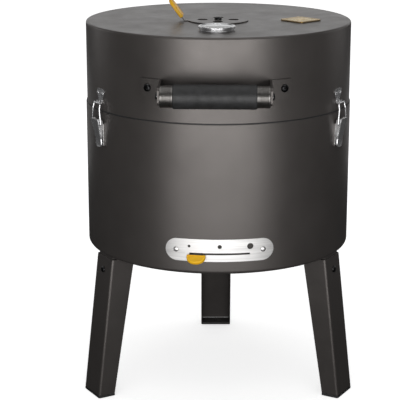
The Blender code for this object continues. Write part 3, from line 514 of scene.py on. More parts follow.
def channel(name, sections, sheet, corner, steps=6):
    """Bent-sheet channel lofted through (height, half width, depth, face distance)."""
    builder = bmesh.new()
    rows = []
    for height, half_width, depth, face in sections:
        bend = min(corner, depth * 0.8, half_width * 0.8)
        left = arc_points((-half_width + bend, -face + bend), bend, 180, 270, steps)
        right = arc_points((half_width - bend, -face + bend), bend, 270, 360, steps)
        outline = [(-half_width, depth - face)] + left + right + [(half_width, depth - face)]
        rows.append([builder.verts.new((x, y, height)) for x, y in outline])
    for upper, lower in zip(rows, rows[1:]):
        for i in range(len(upper) - 1):
            builder.faces.new((upper[i], lower[i], lower[i + 1], upper[i + 1]))
    mesh = bpy.data.meshes.new(name)
    builder.to_mesh(mesh)
    builder.free()
    item = bpy.data.objects.new(name, mesh)
    bpy.context.scene.collection.objects.link(item)
    solidify = item.modifiers.new("sheet", "SOLIDIFY")
    solidify.thickness = sheet
    solidify.offset = -1
    solidify.use_even_offset = True
    return settle(item)


def show(item, place, body, material, *nodes, slot=None):
    """Put a piece in its place, give it its look, and let it ride on its body."""
    item.matrix_world = place
    bpy.context.view_layer.update()
    item.data.materials.clear()
    look = LOOKS[material] if isinstance(material, str) else material
    item.data.materials.append(look)
    normals = item.modifiers.new("weighted_normals", "WEIGHTED_NORMAL")
    normals.keep_sharp = True
    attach(item, body)
    if nodes:
        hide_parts(*nodes)
    return item


def outward(azimuth, distance, height):
    """Frame on the drum's wall whose +Z points away from the axis."""
    return (about("Z", azimuth) @ shift((0, -distance, height))
            @ about("X", math.pi / 2))


def cross_screw(name, head_radius, head_height, shank_radius, shank_length):
    """Pan-head screw with a cross recess; +Z points out of the head."""
    crown = [(0, head_height)]
    steps = 10
    for i in range(1, steps + 1):
        angle = math.pi / 2 * i / steps
        crown.append((head_radius * math.sin(angle) ** 0.8, head_height * math.cos(angle) ** 0.7))
    crown[-1] = (head_radius, head_height * 0.18)
    screw = turned(name, crown + [(head_radius, 0), (shank_radius, 0),
                                  (shank_radius, -shank_length), (0, -shank_length)],
                   segments=40)
    arm = head_radius * 0.56
    width = head_radius * 0.11
    slots = [box("recess", (-arm, -width, head_height * 0.35), (arm, width, head_height * 2)),
             box("recess", (-width, -arm, head_height * 0.35), (width, arm, head_height * 2))]
    return cut(screw, *slots)


def rivet(name, head_radius, head_height, shank_radius, shank_length):
    crown = [(0, head_height)]
    for i in range(1, 9):
        angle = math.pi / 2 * i / 8
        crown.append((head_radius * math.sin(angle), head_height * math.cos(angle)))
    return turned(name, crown + [(shank_radius, 0), (shank_radius, -shank_length),
                                 (0, -shank_length)], segments=36)


# ---- Drum and lid ----
SHELL_SEGMENTS = 192
HOLE_RADII = {-12.5: 0.0023, 0.0: 0.0033, 12.5: 0.0050}
HOLE_HEIGHT = LOW["intake_plate"].z + 0.0244
SLOT_HEIGHT = LOW["intake_plate"].z + 0.0124
SLOT_HALF_ANGLE = math.radians(12.4)
SLIDER_AZIMUTH = math.radians(-9.45)
VENT_HOLE_DISTANCE = 0.0255
VENT_HOLE_RADIUS = 0.0085
SCREW_BORE = 0.0033
PIN_BORE = 0.0018


def radial_rod(azimuth, height, radius, inner, outer, segments):
    turn = about("Z", azimuth)
    return rod("bore", turn @ Vector((0, -outer, height)), turn @ Vector((0, -inner, height)),
               radius, segments)


def intake_cutters(clearance, slot_clearance, slot_half_height, segments):
    """Cutters for the three air holes and the slot."""
    reach = (DRUM_RADIUS - 0.01, DRUM_RADIUS + 0.01)
    cutters = [radial_rod(math.radians(a), HOLE_HEIGHT, r + clearance, *reach, segments=segments)
               for a, r in HOLE_RADII.items()]
    cutters.append(arc_plate("slot", *reach, SLOT_HALF_ANGLE + slot_clearance,
                             SLOT_HEIGHT - slot_half_height, SLOT_HEIGHT + slot_half_height))
    return cutters


def make_drum():
    inner = DRUM_RADIUS - DRUM_WALL
    bend = 0.006
    floor = DRUM_BOTTOM + DRUM_WALL
    lip = 0.0004
    outer_bend = arc_points((DRUM_RADIUS - bend, DRUM_BOTTOM + bend), bend, 0, -90, 8)
    inner_bend = arc_points((inner - bend + DRUM_WALL, floor + bend - DRUM_WALL),
                            bend - DRUM_WALL, -90, 0, 6)
    rim = [(inner, SEAM - lip), (inner + lip, SEAM), (DRUM_RADIUS - lip, SEAM),
           (DRUM_RADIUS, SEAM - lip)]
    rows = [(DRUM_RADIUS, 0.302), (DRUM_RADIUS, 0.258)]
    profile = [(0, floor)] + inner_bend + rim + rows + outer_bend + [(0, DRUM_BOTTOM)]
    drum = turned("drum_skin", profile, segments=SHELL_SEGMENTS)
    show(cut(drum, *intake_cutters(0.001, 0.006, 0.0022, 24)), station(), "base", STEEL,
         "drum_shell")
    # Weld seam down the back of the drum, ground nearly flush.
    seam = turned("drum_weld_seam", [(0, 0.102), (0.0014, 0.100), (0.0016, 0.0),
                                     (0.0014, -0.100), (0, -0.102)], segments=24)
    flat = Matrix.Diagonal((1.0, 0.28, 1.0, 1.0))
    middle = (DRUM_BOTTOM + SEAM - 0.045) / 2
    show(seam, station(math.radians(150)) @ shift((0, -DRUM_RADIUS, middle)) @ flat,
         "base", STEEL)


def make_lid():
    inner = LID_RADIUS - LID_WALL
    bend = 0.0035
    ceiling = LID_TOP - LID_WALL
    outer_bend = arc_points((LID_RADIUS - bend, LID_TOP - bend), bend, 90, 0, 10)
    inner_bend = arc_points((LID_RADIUS - bend, LID_TOP - bend), bend - LID_WALL, 0, 90, 6)
    rows = [(LID_RADIUS, 0.552), (LID_RADIUS, 0.515)]
    profile = ([(0, LID_TOP), (0.185, LID_TOP)] + outer_bend + rows
               + [(LID_RADIUS, LID_SKIRT), (inner, LID_SKIRT)] + inner_bend + [(0, ceiling)])
    lid = turned("lid_skin", profile, segments=SHELL_SEGMENTS)
    holes = []
    turn = about("Z", LID_TURN)
    vent_place = shift(-AXIS) @ centre_of_vent()
    for i in range(4):
        angle = math.radians(45 + 90 * i)
        spot = vent_place + turn @ (VENT_HOLE_DISTANCE
                                    * Vector((math.cos(angle), math.sin(angle), 0)))
        holes.append(upright_bore(spot, VENT_HOLE_RADIUS))
    stem = turn @ Vector((0, -distance_of("thermometer_case"), LID_TOP))
    holes.append(upright_bore(stem, 0.0045))
    show(cut(lid, *holes), station(), "lid", STEEL, "lid_shell")


def make_seam_shade_bead():
    """Black bead under the lid's edge, filling the step to the drum's rim: painted shade, a dark line
    where the seam lies in shade.
    """
    low = SEAM + 0.0002
    bead = [(LID_RADIUS + 0.0001, low + 0.0017), (LID_RADIUS + 0.0006, low + 0.0016),
            (LID_RADIUS + 0.0010, low + 0.0011), (LID_RADIUS + 0.0010, low + 0.0003),
            (LID_RADIUS + 0.0007, low), (LID_RADIUS + 0.0001, low)]
    show(turned("lid_seam_shade_bead", bead, closed=True, segments=SHELL_SEGMENTS), station(), "lid",
         "black_grip")


def centre_of_vent():
    spot = centre("vent_pivot_bolt")
    return Vector((spot.x, spot.y, LID_TOP))


# ---- Legs ----
LEG_TILT = math.radians(7.0)
LEG_HALF_WIDTH = 0.0275
LEG_FACE_TOP = 0.2165
LEG_BOLT_HEIGHT = 0.2145
PAD_HEIGHT = 0.004


def make_leg(name, azimuth):
    node = "leg_" + name
    place = station(azimuth)
    top = HIGH[node].z
    foot = LOW[node].z + 0.0004

    def face_at(height):
        return LEG_FACE_TOP + (top - height) * math.tan(LEG_TILT)

    sections = [(top, LEG_HALF_WIDTH, 0.041, face_at(top)),
                (foot, LEG_HALF_WIDTH, 0.0295, face_at(foot))]
    leg = channel(node + "_sheet", sections, 0.002, 0.004)
    tilt = about("X", math.pi / 2 - LEG_TILT)
    spot = shift((0, -face_at(LEG_BOLT_HEIGHT), LEG_BOLT_HEIGHT)) @ tilt
    cut(leg, rod("bore", spot @ Vector((0, 0, 0.01)), spot @ Vector((0, 0, -0.012)), SCREW_BORE))
    soften(leg, 0.0004, 2)
    show(leg, place, "base", STEEL, node)
    screw = cross_screw("leg_bolt_" + name, 0.0055, 0.003, 0.003, 0.010)
    show(screw, place @ spot @ shift((0, 0, GAP)), "base", "black_oxide",
         "leg_screw_" + name)
    face = face_at(foot)
    outline = []
    corner = 0.003
    side = LEG_HALF_WIDTH - corner
    for x, y, start in ((side, corner - face, -90), (side, 0.0275 - face, 0),
                        (-side, 0.0275 - face, 90), (-side, corner - face, 180)):
        outline += arc_points((x, y), corner, start, start + 90, 6)
    pad = flat_plate("leg_pad_" + name, outline, PAD_HEIGHT,
                     shift((0, 0, PAD_HEIGHT / 2)))
    cut(pad, rod("bore", (0, -face + 0.015, -0.01), (0, -face + 0.015, 0.01), 0.0028))
    soften(pad, 0.0006, 2)
    show(pad, place, "base", "black_plastic", "foot_pad_" + name)


# ---- Handle ----
BRACKET_BOLT_AZIMUTH = math.radians(28.3)
BRACKET_SHEET = 0.003
HANDLE_HALF_LENGTH = 0.0825


def make_handle():
    middle = shift((0, -distance_of("handle_bar"), centre("handle_bar").z))
    along = FITTINGS @ middle @ about("Y", math.pi / 2)
    half = HANDLE_HALF_LENGTH
    radius = 0.0167
    groove = 0.00028
    pitch = 0.0016
    profile = [(0, half), (radius - 0.0018, half), (radius - 0.0005, half - 0.0006),
               (radius, half - 0.0018)]
    grooves = []
    for i in range(10):
        start = half - 0.0026 - i * pitch
        grooves += [(radius, start), (radius - groove, start - pitch * 0.3),
                    (radius - groove, start - pitch * 0.5), (radius, start - pitch * 0.8)]
    profile += grooves
    profile += [(r, -z) for r, z in reversed(profile)]
    show(turned("handle_tube", profile, segments=96), along, "lid", "plain_steel", "handle_bar")

    end = 0.063
    grip_radius = 0.0185
    inner = radius + GAP
    shoulder = arc_points((grip_radius - 0.0022, end - 0.0022), 0.0022, 90, 0, 6)
    outer = [(inner, end)] + shoulder
    ribs = []
    count = 21
    for i in range(count):
        z = (end - 0.010) - i * (2 * (end - 0.010) / (count - 1))
        ribs += [(grip_radius, z + 0.0009), (grip_radius - 0.00012, z + 0.0004),
                 (grip_radius - 0.00012, z - 0.0004), (grip_radius, z - 0.0009)]
    profile = outer + ribs + [(r, -z) for r, z in reversed(outer)]
    show(turned("handle_sleeve", profile, closed=True, segments=96), along, "lid", "black_grip",
         "handle_grip")

    for side, sign in (("left", -1), ("right", 1)):
        bolt_azimuth = sign * BRACKET_BOLT_AZIMUTH
        outer_face = LID_RADIUS + GAP + BRACKET_SHEET
        place = FITTINGS @ outward(bolt_azimuth, outer_face + GAP, centre("handle_bar").z)
        show(cross_screw("bracket_bolt_" + side, 0.0063, 0.0038, 0.003, 0.012), place, "lid",
             "black_oxide", "handle_bolt_" + side)
        place = (FITTINGS @ shift((sign * (half + 2 * GAP + BRACKET_SHEET),
                                                0.004 - distance_of("handle_bar"),
                                                centre("handle_bar").z))
                 @ about("Y", sign * math.pi / 2))
        show(cross_screw("bar_screw_" + side, 0.0055, 0.0032, 0.003, 0.014), place, "lid",
             "black_oxide", "handle_end_screw_" + side)
        make_bracket(side, sign)


def make_bracket(side, sign):
    z = centre("handle_bar").z
    reach = distance_of("handle_bar")
    half_height = 0.014
    flange_inner = LID_RADIUS + GAP
    flange_outer = flange_inner + BRACKET_SHEET
    arm_inner = HANDLE_HALF_LENGTH + GAP
    near = math.asin(arm_inner / flange_outer)
    far = BRACKET_BOLT_AZIMUTH + math.radians(3.2)
    flange = arc_plate("bracket_" + side, flange_inner, flange_outer, (far - near) / 2,
                       z - half_height, z + half_height, middle=sign * (far + near) / 2,
                       segments=12)
    root = -flange_outer * math.cos(near) + 0.0022
    tip = -reach - 0.004
    rounding = 0.006
    outline = [(root, z - half_height), (root, z + half_height)]
    outline += arc_points((tip + rounding, z + half_height - rounding), rounding, 90, 180, 8)
    outline += arc_points((tip + rounding, z - half_height + rounding), rounding, 180, 270, 8)
    arm = flat_plate("arm", outline, BRACKET_SHEET,
                     facing_side(sign * (arm_inner + BRACKET_SHEET / 2)))
    weld(flange, arm)
    turn = about("Z", sign * BRACKET_BOLT_AZIMUTH)
    cut(flange, rod("bore", turn @ Vector((0, -0.235, z)), turn @ Vector((0, -0.205, z)), SCREW_BORE),
        rod("bore", (sign * 0.075, 0.004 - reach, z), (sign * 0.095, 0.004 - reach, z), SCREW_BORE))
    soften(flange, 0.0005, 2)
    show(flange, FITTINGS, "lid", STEEL, "handle_bracket_" + side)


# ---- Intake ----
def make_sleeve(name, length, place, pocket_place, tongue, body, node):
    """Silicone sleeve: rounded tab, its face sunk inside a raised rim, on a flat tongue."""
    width, thickness = 0.030, 0.006
    corner = 0.0135
    outline = [(-width / 2, 0), (width / 2, 0)]
    outline += arc_points((width / 2 - corner, length - corner), corner, 0, 90, 16)
    outline += arc_points((-width / 2 + corner, length - corner), corner, 90, 180, 16)
    sleeve = flat_plate(name, outline, thickness, Matrix())
    soften(sleeve, 0.0016, 4)
    half_width, reach, half_thickness = tongue
    pocket = box("pocket", (-half_width - GAP, -0.005, -half_thickness - GAP),
                 (half_width + GAP, reach + GAP, half_thickness + GAP))
    pocket.matrix_world = place.inverted() @ pocket_place
    bpy.context.view_layer.update()
    cut(sleeve, pocket)
    inset = 0.0032
    bend = corner - inset
    panel = [(-width / 2 + inset, 0.0030), (width / 2 - inset, 0.0030)]
    panel += arc_points((width / 2 - corner, length - corner), bend, 0, 90, 12)
    panel += arc_points((-width / 2 + corner, length - corner), bend, 90, 180, 12)
    for side in (-1, 1):
        sink = flat_plate("sink", panel, 0.002,
                          shift((0, 0, side * (thickness / 2 + 0.0005))))
        cut(sleeve, sink)
    soften(sleeve, 0.0002, 2)
    show(sleeve, place, body, "yellow_silicone", node)


def make_intake():
    back = DRUM_RADIUS + GAP
    face = back + 0.001
    middle = centre("intake_plate").z
    half_height = (HIGH["intake_plate"].z - LOW["intake_plate"].z) / 2
    half_angle = math.radians(22.5)
    plate = arc_plate("intake_cover", back, face, half_angle + 0.02, middle - 0.03, middle + 0.03,
                      segments=64)
    reach = face * math.sin(half_angle) - half_height
    outline = arc_points((reach, middle), half_height, -90, 90, 32)
    outline += arc_points((-reach, middle), half_height, 90, 270, 32)
    combine(plate, [flat_plate("outline", outline, 0.12, facing_front(-0.22))], "INTERSECT")
    cut(plate, *intake_cutters(0.0, 0.0, 0.0015, 32))
    soften(plate, 0.0002, 2)
    show(plate, station(), "base", "stainless", "intake_plate")
    for side, sign in (("left", -1), ("right", 1)):
        place = station() @ outward(sign * math.radians(18), face + GAP, middle)
        show(rivet("intake_stud_" + side, 0.0042, 0.0017, 0.0015, 0.0024), place, "base",
             "stainless", "intake_rivet_" + side)
    slope = math.radians(30)
    bend_at = face + 0.0012
    level = SLOT_HEIGHT - 0.0006
    along = (station(SLIDER_AZIMUTH) @ shift((0, -bend_at, level))
             @ about("Z", math.pi) @ about("X", -slope))
    make_sleeve("intake_sleeve", 0.0165, along @ shift((0, 0.0016, -0.0015)), along,
                (0.0108, 0.0105, 0.0006), "slider", "intake_grip")


# ---- Vent, thermometer, badge ----
def make_vent():
    low = LID_TOP + GAP
    high = low + 0.0015
    radius = 0.0495
    place = shift(centre_of_vent() - Vector((0, 0, LID_TOP))) @ about("Z", LID_TURN)
    disc = turned("vent_plate", [(0, high), (radius - 0.0004, high), (radius, high - 0.0004),
                                 (radius, low), (0, low)], segments=96)
    rise = math.radians(54)
    half_thickness = 0.00075
    bend = (-radius - 0.005, low + half_thickness)
    reach = 0.034
    tip = (bend[0] - reach * math.cos(rise), bend[1] + reach * math.sin(rise))
    normal = (half_thickness * math.sin(rise), half_thickness * math.cos(rise))
    miter = half_thickness * math.tan(rise / 2)
    outline = [(-radius + 0.010, low), (-radius + 0.010, high), (bend[0] + miter, high),
               (tip[0] + normal[0], tip[1] + normal[1]), (tip[0] - normal[0], tip[1] - normal[1]),
               (bend[0] - miter, low)]
    weld(disc, flat_plate("tongue", outline, 0.0216, about("X", math.pi / 2)))
    holes = []
    for i in range(4):
        angle = math.radians(90 * i)
        spot = Vector((VENT_HOLE_DISTANCE * math.cos(angle),
                       VENT_HOLE_DISTANCE * math.sin(angle), LID_TOP))
        holes.append(upright_bore(spot, VENT_HOLE_RADIUS, 40))
    holes.append(upright_bore(Vector((0, 0, LID_TOP)), SCREW_BORE, 24))
    cut(disc, *holes)
    show(disc, place, "vent", STEEL, "vent_disc")
    along = (place @ shift((bend[0], 0, bend[1])) @ about("Z", math.pi / 2) @ about("X", rise))
    make_sleeve("vent_sleeve", 0.034, along @ shift((0, 0.007, 0)), along,
                (0.0108, reach, half_thickness), "vent", "vent_grip")
    bolt = place @ shift((0, 0, high + GAP))
    show(cross_screw("vent_bolt", 0.0062, 0.0042, 0.003, 0.008), bolt, "lid", "black_oxide",
         "vent_pivot_bolt")


def make_thermometer():
    spot = centre("thermometer_case")
    place = shift((spot.x, spot.y, 0)) @ about("Z", LID_TURN)
    base = LID_TOP + GAP
    top = base + 0.0068
    outer = 0.029
    recess = outer - 0.003
    floor = top - 0.0045
    rim = arc_points((outer - 0.0012, top - 0.0012), 0.0012, 90, 0, 8)
    body = [(0, floor), (recess, floor), (recess, top - 0.0006), (recess + 0.0006, top)] + rim
    body += [(outer, top - 0.0028), (outer - 0.0004, top - 0.0032), (outer - 0.0010, top - 0.0033),
             (outer - 0.0010, base + 0.0008), (outer - 0.0007, base + 0.0004),
             (outer - 0.0007, base), (0, base)]
    show(turned("thermometer_bezel", body, segments=128), place, "lid", "chrome",
         "thermometer_case")
    face = floor + 0.0009
    dial = turned("dial_plate", [(0, face), (recess - GAP, face), (recess - GAP, floor + GAP),
                                 (0, floor + GAP)], segments=96)
    show(dial, place, "lid", "dial_white", "thermometer_dial")
    ticks = bmesh.new()
    for i in range(31):
        angle = math.radians(225 - 270 * i / 30)
        length = 0.0042 if i % 5 == 0 else 0.0022
        width = 0.0004 if i % 5 == 0 else 0.0002
        tick = about("Z", angle) @ shift((0.0232 - length / 2, 0, face))
        size = Matrix.Diagonal((length, 2 * width, 0.0001, 1.0))
        bmesh.ops.create_cube(ticks, size=1.0, matrix=tick @ size)
    show(as_object("dial_ticks", ticks), place, "lid", INK, slot="dial_white")
    zone = arc_plate("dial_zone", 0.0150, 0.0166, math.radians(38), face, face + 0.00008,
                     middle=math.radians(95), segments=24)
    show(zone, place, "lid", "dial_red", slot="dial_red")
    glass_low = top - 0.0018
    lens = turned("dial_glass", [(0, top - 0.0004), (recess * 0.5, top - 0.0005),
                                 (recess - GAP, top - 0.0008), (recess - GAP, glass_low),
                                 (0, glass_low)], segments=96)
    show(lens, place, "lid", "glass", "thermometer_lens")


def make_badge_field():
    """Pale gold ground broken up by dark etched flecks."""
    shader = Shader("badge_field_look")
    flecks = shader.to_range(shader.spots(300.0), 1.0, 0.0, 0.22, 0.34)
    tone = shader.blend(flecks, (0.88, 0.74, 0.48), (0.20, 0.12, 0.05))
    shader.set(Base_Color=tone, Metallic=0.2,
               Roughness=shader.to_range(shader.noise(300.0), 0.38, 0.55),
               Normal=shader.bump(flecks, 0.3, 0.0002))
    return shader.material


def make_badge():
    """Gold diamond plate: stepped corners, raised border, dark field and three plain bars."""
    spot = centre("badge_plate")
    low = LOW["badge_plate"].z
    place = shift((spot.x, spot.y, low)) @ about("Z", LID_TURN + math.radians(45))

    def diamond(half, notch):
        quarter = [(half, -half + notch), (half, half - notch), (half - notch, half - notch)]
        points = []
        for i in range(4):
            turn = Matrix.Rotation(math.radians(90 * i), 2)
            points += [tuple(turn @ Vector(point)) for point in quarter]
        return points

    half = (HIGH["badge_plate"].x - LOW["badge_plate"].x) / 2 / math.sqrt(2) + 0.00175
    plate = flat_plate("badge_frame", diamond(half, 0.0035), 0.002,
                       shift((0, 0, 0.001)))
    for outer, inner in ((half - 0.0022, half - 0.0034), (half - 0.0046, 0.0)):
        pocket = flat_plate("pocket", diamond(outer, 0.0030), 0.002,
                            shift((0, 0, 0.0026)))
        if inner:
            cut(pocket, flat_plate("island", diamond(inner, 0.0028), 0.01, Matrix()))
        cut(plate, pocket)
    soften(plate, 0.00015, 2)
    show(plate, place, "lid", "gold", "badge_plate")
    field = flat_plate("badge_field", diamond(half - 0.0050, 0.0030), 0.0001,
                       shift((0, 0, 0.00166)))
    show(field, place, "lid", make_badge_field(), slot="gold")
    bars = bmesh.new()
    upright = about("Z", math.radians(-45))
    for offset, width in ((0.0075, 0.014), (0.0, 0.026), (-0.0075, 0.014)):
        size = Matrix.Diagonal((width, 0.0030, 0.0003, 1.0))
        bmesh.ops.create_cube(bars, size=1.0,
                              matrix=upright @ shift((0, offset, 0.00183)) @ size)
    show(soften(as_object("badge_bars", bars), 0.0001, 1), place, "lid", "gold")


# ---- Latches ----
BAIL_WIRE = 0.0013
BAIL_BAR_OUT = 0.2258
PIN_RADIUS = 0.0015
PIN_HALF_LENGTH = 0.0126
LATCH_BASE_DROP = 0.0408         # from the pin down to the foot of the base plate
LATCH_BASE_HEIGHT = 0.0354


def make_latch(side):
    azimuth = math.radians(round(math.degrees(azimuth_of("latch_pin_" + side)), 1))
    place = station(azimuth)
    back = DRUM_RADIUS + GAP
    pivot = (-0.2268, centre("latch_pin_" + side).z)
    eye = (-0.2275, pivot[1] - 0.0062)
    foot = pivot[1] - LATCH_BASE_DROP
    top = foot + LATCH_BASE_HEIGHT
    base = arc_plate("latch_plate_" + side, back, back + 0.0012, 0.0535, foot, top, segments=16)
    soften(base, 0.0002, 2)
    ears = []
    for sign in (-1, 1):
        ear = [(-back - 0.0006, foot + 0.0243), (-back - 0.0006, top)]
        ear += arc_points(pivot, 0.0028, 27, 209, 16)
        plate = flat_plate("ear", ear, 0.0012, facing_side(sign * 0.0092))
        ears.append(cut(plate, cross_bore(pivot, PIN_BORE)))
    join(base, ears)
    show(base, place, "base", "stainless", "latch_base_" + side)
    end = [(0, PIN_HALF_LENGTH), (PIN_RADIUS - 0.0003, PIN_HALF_LENGTH - 0.0001),
           (PIN_RADIUS, PIN_HALF_LENGTH - 0.0004)]
    pin = turned("latch_axle_" + side, end + [(r, -h) for r, h in reversed(end)], segments=32)
    across = shift((0, *pivot)) @ about("Y", math.pi / 2)
    show(pin, place @ across, "base", "stainless", "latch_pin_" + side)

    z = pivot[1]
    sections = [(z + 0.0022, 0.0110, 0.0085, 0.2320), (z + 0.0013, 0.0120, 0.0085, 0.2319),
                (z - 0.0065, 0.0117, 0.0085, 0.2303), (z - 0.0155, 0.0107, 0.0065, 0.2286),
                (z - 0.0215, 0.0104, 0.0052, 0.2273), (z - 0.0265, 0.0102, 0.0040, 0.2263),
                (z - 0.0290, 0.0097, 0.0032, 0.2257), (z - 0.0310, 0.0094, 0.0025, 0.2254),
                (z - 0.0328, 0.0096, 0.0021, 0.2251), (z - 0.0345, 0.0098, 0.0020, 0.2249),
                (z - 0.0390, 0.0100, 0.0020, 0.2248), (z - 0.0408, 0.0093, 0.0019, 0.2249),
                (z - 0.0420, 0.0084, 0.0019, 0.2250), (z - 0.0431, 0.0068, 0.0018, 0.2251),
                (z - 0.0437, 0.0054, 0.0018, 0.2252)]
    lever = channel("latch_handle_" + side, sections, 0.001, 0.0022, 5)
    cut(lever, cross_bore(pivot, PIN_BORE),
        cross_bore(eye, BAIL_WIRE + GAP))
    show(soften(lever, 0.0002, 2), place, "lever_" + side, "chrome", "latch_lever_" + side)

    bar = HIGH["latch_bail_" + side].z - BAIL_WIRE
    half_path = [(0.0103, *eye), (0.0140, *eye), (0.0147, eye[0], eye[1] + 0.0003),
                 (0.0150, eye[0], eye[1] + 0.0012), (0.0110, -0.2274, bar - 0.0095),
                 (0.0103, -BAIL_BAR_OUT, bar - 0.0020), (0.0099, -BAIL_BAR_OUT, bar - 0.0005),
                 (0.0090, -BAIL_BAR_OUT, bar)]
    path = half_path + [(-x, py, pz) for x, py, pz in reversed(half_path)]
    bail = wire("latch_wire_" + side, rounded_path(path, 0.0006, 3), BAIL_WIRE)
    show(bail, place, "bail_" + side, "chrome", "latch_bail_" + side)
    make_keeper(side, place, BAIL_BAR_OUT - BAIL_WIRE - 0.0004)


def make_keeper(side, place, lip):
    back = LID_RADIUS + GAP
    keeper = arc_plate("latch_catch_" + side, back, back + 0.0012, 0.07, 0.495, 0.520,
                       segments=20)
    outline = [(-0.0058, 0.4960), (0.0058, 0.4960), (0.0062, 0.5000), (0.0108, 0.5070)]
    outline += arc_points((0.0072, 0.5120), 0.0048, 0, 90, 10)
    outline += arc_points((-0.0072, 0.5120), 0.0048, 90, 180, 10)
    outline += [(-0.0108, 0.5070), (-0.0062, 0.5000)]
    combine(keeper, [flat_plate("outline", outline, 0.05, facing_front(-0.22))], "INTERSECT")
    wall = back + 0.0004
    hook = [(-wall, 0.4985), (-wall, 0.4930), (-lip, 0.4930), (-lip, 0.4985),
            (0.0011 - lip, 0.4985), (0.0011 - lip, 0.4942), (-wall - 0.0011, 0.4942),
            (-wall - 0.0011, 0.4985)]
    weld(keeper, flat_plate("hook", hook, 0.0110, facing_side(0)))
    for sign in (-1, 1):
        around = sign * math.asin(0.0078 / back)
        stud = rivet("stud", 0.0029, 0.0013, 0.0012, 0.0008)
        stud.matrix_world = outward(around, back + 0.0011, 0.5092)
        bpy.context.view_layer.update()
        weld(keeper, stud)
    show(soften(keeper, 0.00015, 1), place, "lid", "chrome", "latch_keeper_" + side)


# ---- Inside ----
def make_grate(name, node, pitch):
    """Round grate of plated wire: ring, parallel bars, two ties."""
    middle = centre(node)
    radius = (HIGH[node].x - LOW[node].x) / 2
    wire_radius = 0.003
    bar_radius = 0.002
    ring = arc_points((radius - wire_radius, 0.0), wire_radius, 90, -258, 15)
    grate = turned(name, ring, closed=True, segments=128)
    builder = bmesh.new()
    builder.from_mesh(grate.data)
    span = radius - wire_radius
    count = int(span / pitch)
    for i in range(-count, count + 1):
        x = i * pitch
        reach = math.sqrt(span * span - x * x)
        add_rod(builder, (x, -reach, 0.0008), (x, reach, 0.0008), bar_radius, 12)
    for y in (-0.45 * radius, 0.45 * radius):
        reach = math.sqrt(span * span - y * y)
        add_rod(builder, (-reach, y, -0.0012), (reach, y, -0.0012), bar_radius, 12)
    builder.to_mesh(grate.data)
    builder.free()
    settle(grate)
    level = LOW[node].z + wire_radius
    show(grate, shift((middle.x, middle.y, level)), node, "chrome", node)


# ---- Carried-over CAD nodes ----
def dress_cad_nodes():
    """Give every CAD node its look, and soften the edges of the hinge and leg-bracket nodes."""
    slots = {entry["node"]: entry["material_slot"] for entry in frame["record"]["subparts"]}
    for name, node in frame["nodes"].items():
        node.data.materials.clear()
        # The intake shutter gets the dark painted-shade steel that darkens the air holes.
        node.data.materials.append(SHUTTER_SHADE if name == "intake_slider" else LOOKS[slots[name]])
        if name.startswith(("hinge_", "leg_bracket")):
            bevel = node.modifiers.new("soft_edges", "BEVEL")
            bevel.width = 0.0004
            bevel.segments = 2
            bevel.limit_method = "ANGLE"
            bevel.angle_limit = math.radians(40)


# ---- Stage, light and camera ----
def make_stage():
    """White floor that fades into a white surround."""
    bpy.ops.mesh.primitive_circle_add(vertices=96, radius=6.0, fill_type="NGON",
                                      location=(0, 0, -0.0005))
    floor = bpy.context.object
    floor.name = "studio_floor"
    shader = Shader("studio_floor_look")
    nodes = shader.tree.nodes
    grain = shader.to_range(shader.noise(3.0, 3.0), 0.97, 1.0)
    tone = shader.blend(grain, (0.84, 0.84, 0.84), (0.88, 0.88, 0.88))
    lit = shader.add("ShaderNodeBsdfDiffuse")
    shader.link(tone, lit.inputs["Color"])
    glow = shader.add("ShaderNodeEmission")
    span = shader.add("ShaderNodeVectorMath", operation="LENGTH")
    shader.link(shader.place, span.inputs[0])
    shader.link(shader.to_range(span.outputs["Value"], 0.69, 1.05, 0.4, 3.0),
                glow.inputs["Strength"])
    seen = shader.add("ShaderNodeAddShader")
    shader.link(lit.outputs[0], seen.inputs[0])
    shader.link(glow.outputs[0], seen.inputs[1])
    bounced = shader.add("ShaderNodeBsdfDiffuse")
    bounced.inputs["Color"].default_value = (0.05, 0.05, 0.05, 1.0)
    camera_ray = shader.add("ShaderNodeLightPath").outputs["Is Camera Ray"]
    mix = shader.add("ShaderNodeMixShader")
    shader.link(camera_ray, mix.inputs[0])
    shader.link(bounced.outputs[0], mix.inputs[1])
    shader.link(seen.outputs[0], mix.inputs[2])
    shader.link(mix.outputs[0], nodes["Material Output"].inputs["Surface"])
    floor.data.materials.append(shader.material)


def make_world():
    """Even white surround for the camera, dim grey for everything that it lights."""
    world = bpy.data.worlds.new("studio")
    world.use_nodes = True
    bpy.context.scene.world = world
    tree = world.node_tree
    background = tree.nodes["Background"]
    path = tree.nodes.new("ShaderNodeLightPath")
    level = tree.nodes.new("ShaderNodeMapRange")
    level.inputs["To Min"].default_value = 0.06
    level.inputs["To Max"].default_value = 1.0
    tree.links.new(path.outputs["Is Camera Ray"], level.inputs["Value"])
    tree.links.new(level.outputs["Result"], background.inputs["Strength"])
    background.inputs["Color"].default_value = (1.0, 1.0, 1.0, 1.0)


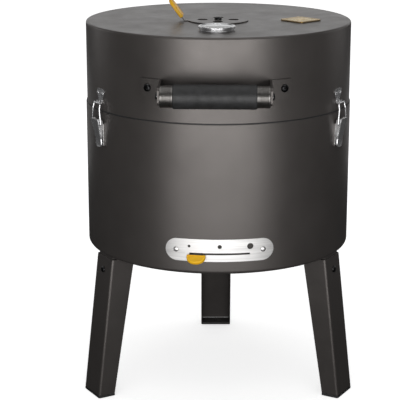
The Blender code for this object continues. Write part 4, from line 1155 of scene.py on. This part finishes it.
def area_light(name, place, target, width, height, power):
    light = bpy.data.lights.new(name, "AREA")
    light.shape = "RECTANGLE"
    light.size = width
    light.size_y = height
    light.energy = power
    item = bpy.data.objects.new(name, light)
    bpy.context.scene.collection.objects.link(item)
    item.location = place
    direction = Vector(target) - Vector(place)
    item.rotation_euler = direction.to_track_quat("-Z", "Y").to_euler()
    item.visible_camera = False


def make_lights():
    area_light("overhead", (0.0, -0.2, 2.6), (0, 0, 0.3), 3.2, 3.2, 26)
    area_light("front_panel", (-0.04, -2.3, 0.50), (-0.04, 0, 0.50), 3.2, 0.95, 41)
    area_light("front_floor", (-0.04, -1.55, 0.02), (-0.04, -1.55, 1.0), 2.8, 1.0, 19)
    area_light("back_panel", (0.0, 2.6, 1.3), (0, 0, 0.6), 3.4, 1.6, 13)
    area_light("back_floor", (0.0, 2.4, 0.02), (0, 2.4, 1.0), 3.0, 2.2, 8)
    area_light("left_panel", (-2.2, 1.2, 0.9), (0, 0, 0.4), 1.2, 1.4, 4.0)
    area_light("right_panel", (2.2, 1.2, 0.9), (0, 0, 0.4), 1.2, 1.4, 4.0)


def make_camera():
    """Long lens, slightly above the lid, facing the handle."""
    azimuth = math.radians(-0.85)
    distance = 2.335
    camera_data = bpy.data.cameras.new("camera")
    camera_data.sensor_width = 36.0
    camera_data.lens = 127.35
    camera_data.dof.use_dof = False
    camera = bpy.data.objects.new("camera", camera_data)
    bpy.context.scene.collection.objects.link(camera)
    camera.location = AXIS + Vector((distance * math.sin(azimuth), -distance * math.cos(azimuth),
                                     LID_TOP + 0.313))
    pitch = math.radians(14.94)
    heading = math.radians(0.745) + azimuth
    camera.rotation_euler = (math.pi / 2 - pitch, 0, heading)
    bpy.context.scene.camera = camera


make_camera()
dress_cad_nodes()
make_drum()
make_lid()
# Dark bead at the seam: painted shade between lid and drum.
make_seam_shade_bead()
for leg_name in ("left", "right", "rear"):
    make_leg(leg_name, math.radians(round(math.degrees(azimuth_of("leg_screw_" + leg_name)))))
make_handle()
make_intake()
make_vent()
make_thermometer()
make_badge()
for latch_side in ("left", "right"):
    make_latch(latch_side)
make_grate("cooking_wires", "cooking_grate", 0.0130)
make_grate("charcoal_wires", "charcoal_grate", 0.0150)
make_stage()
make_world()
make_lights()
bpy.context.scene.view_settings.view_transform = "Standard"
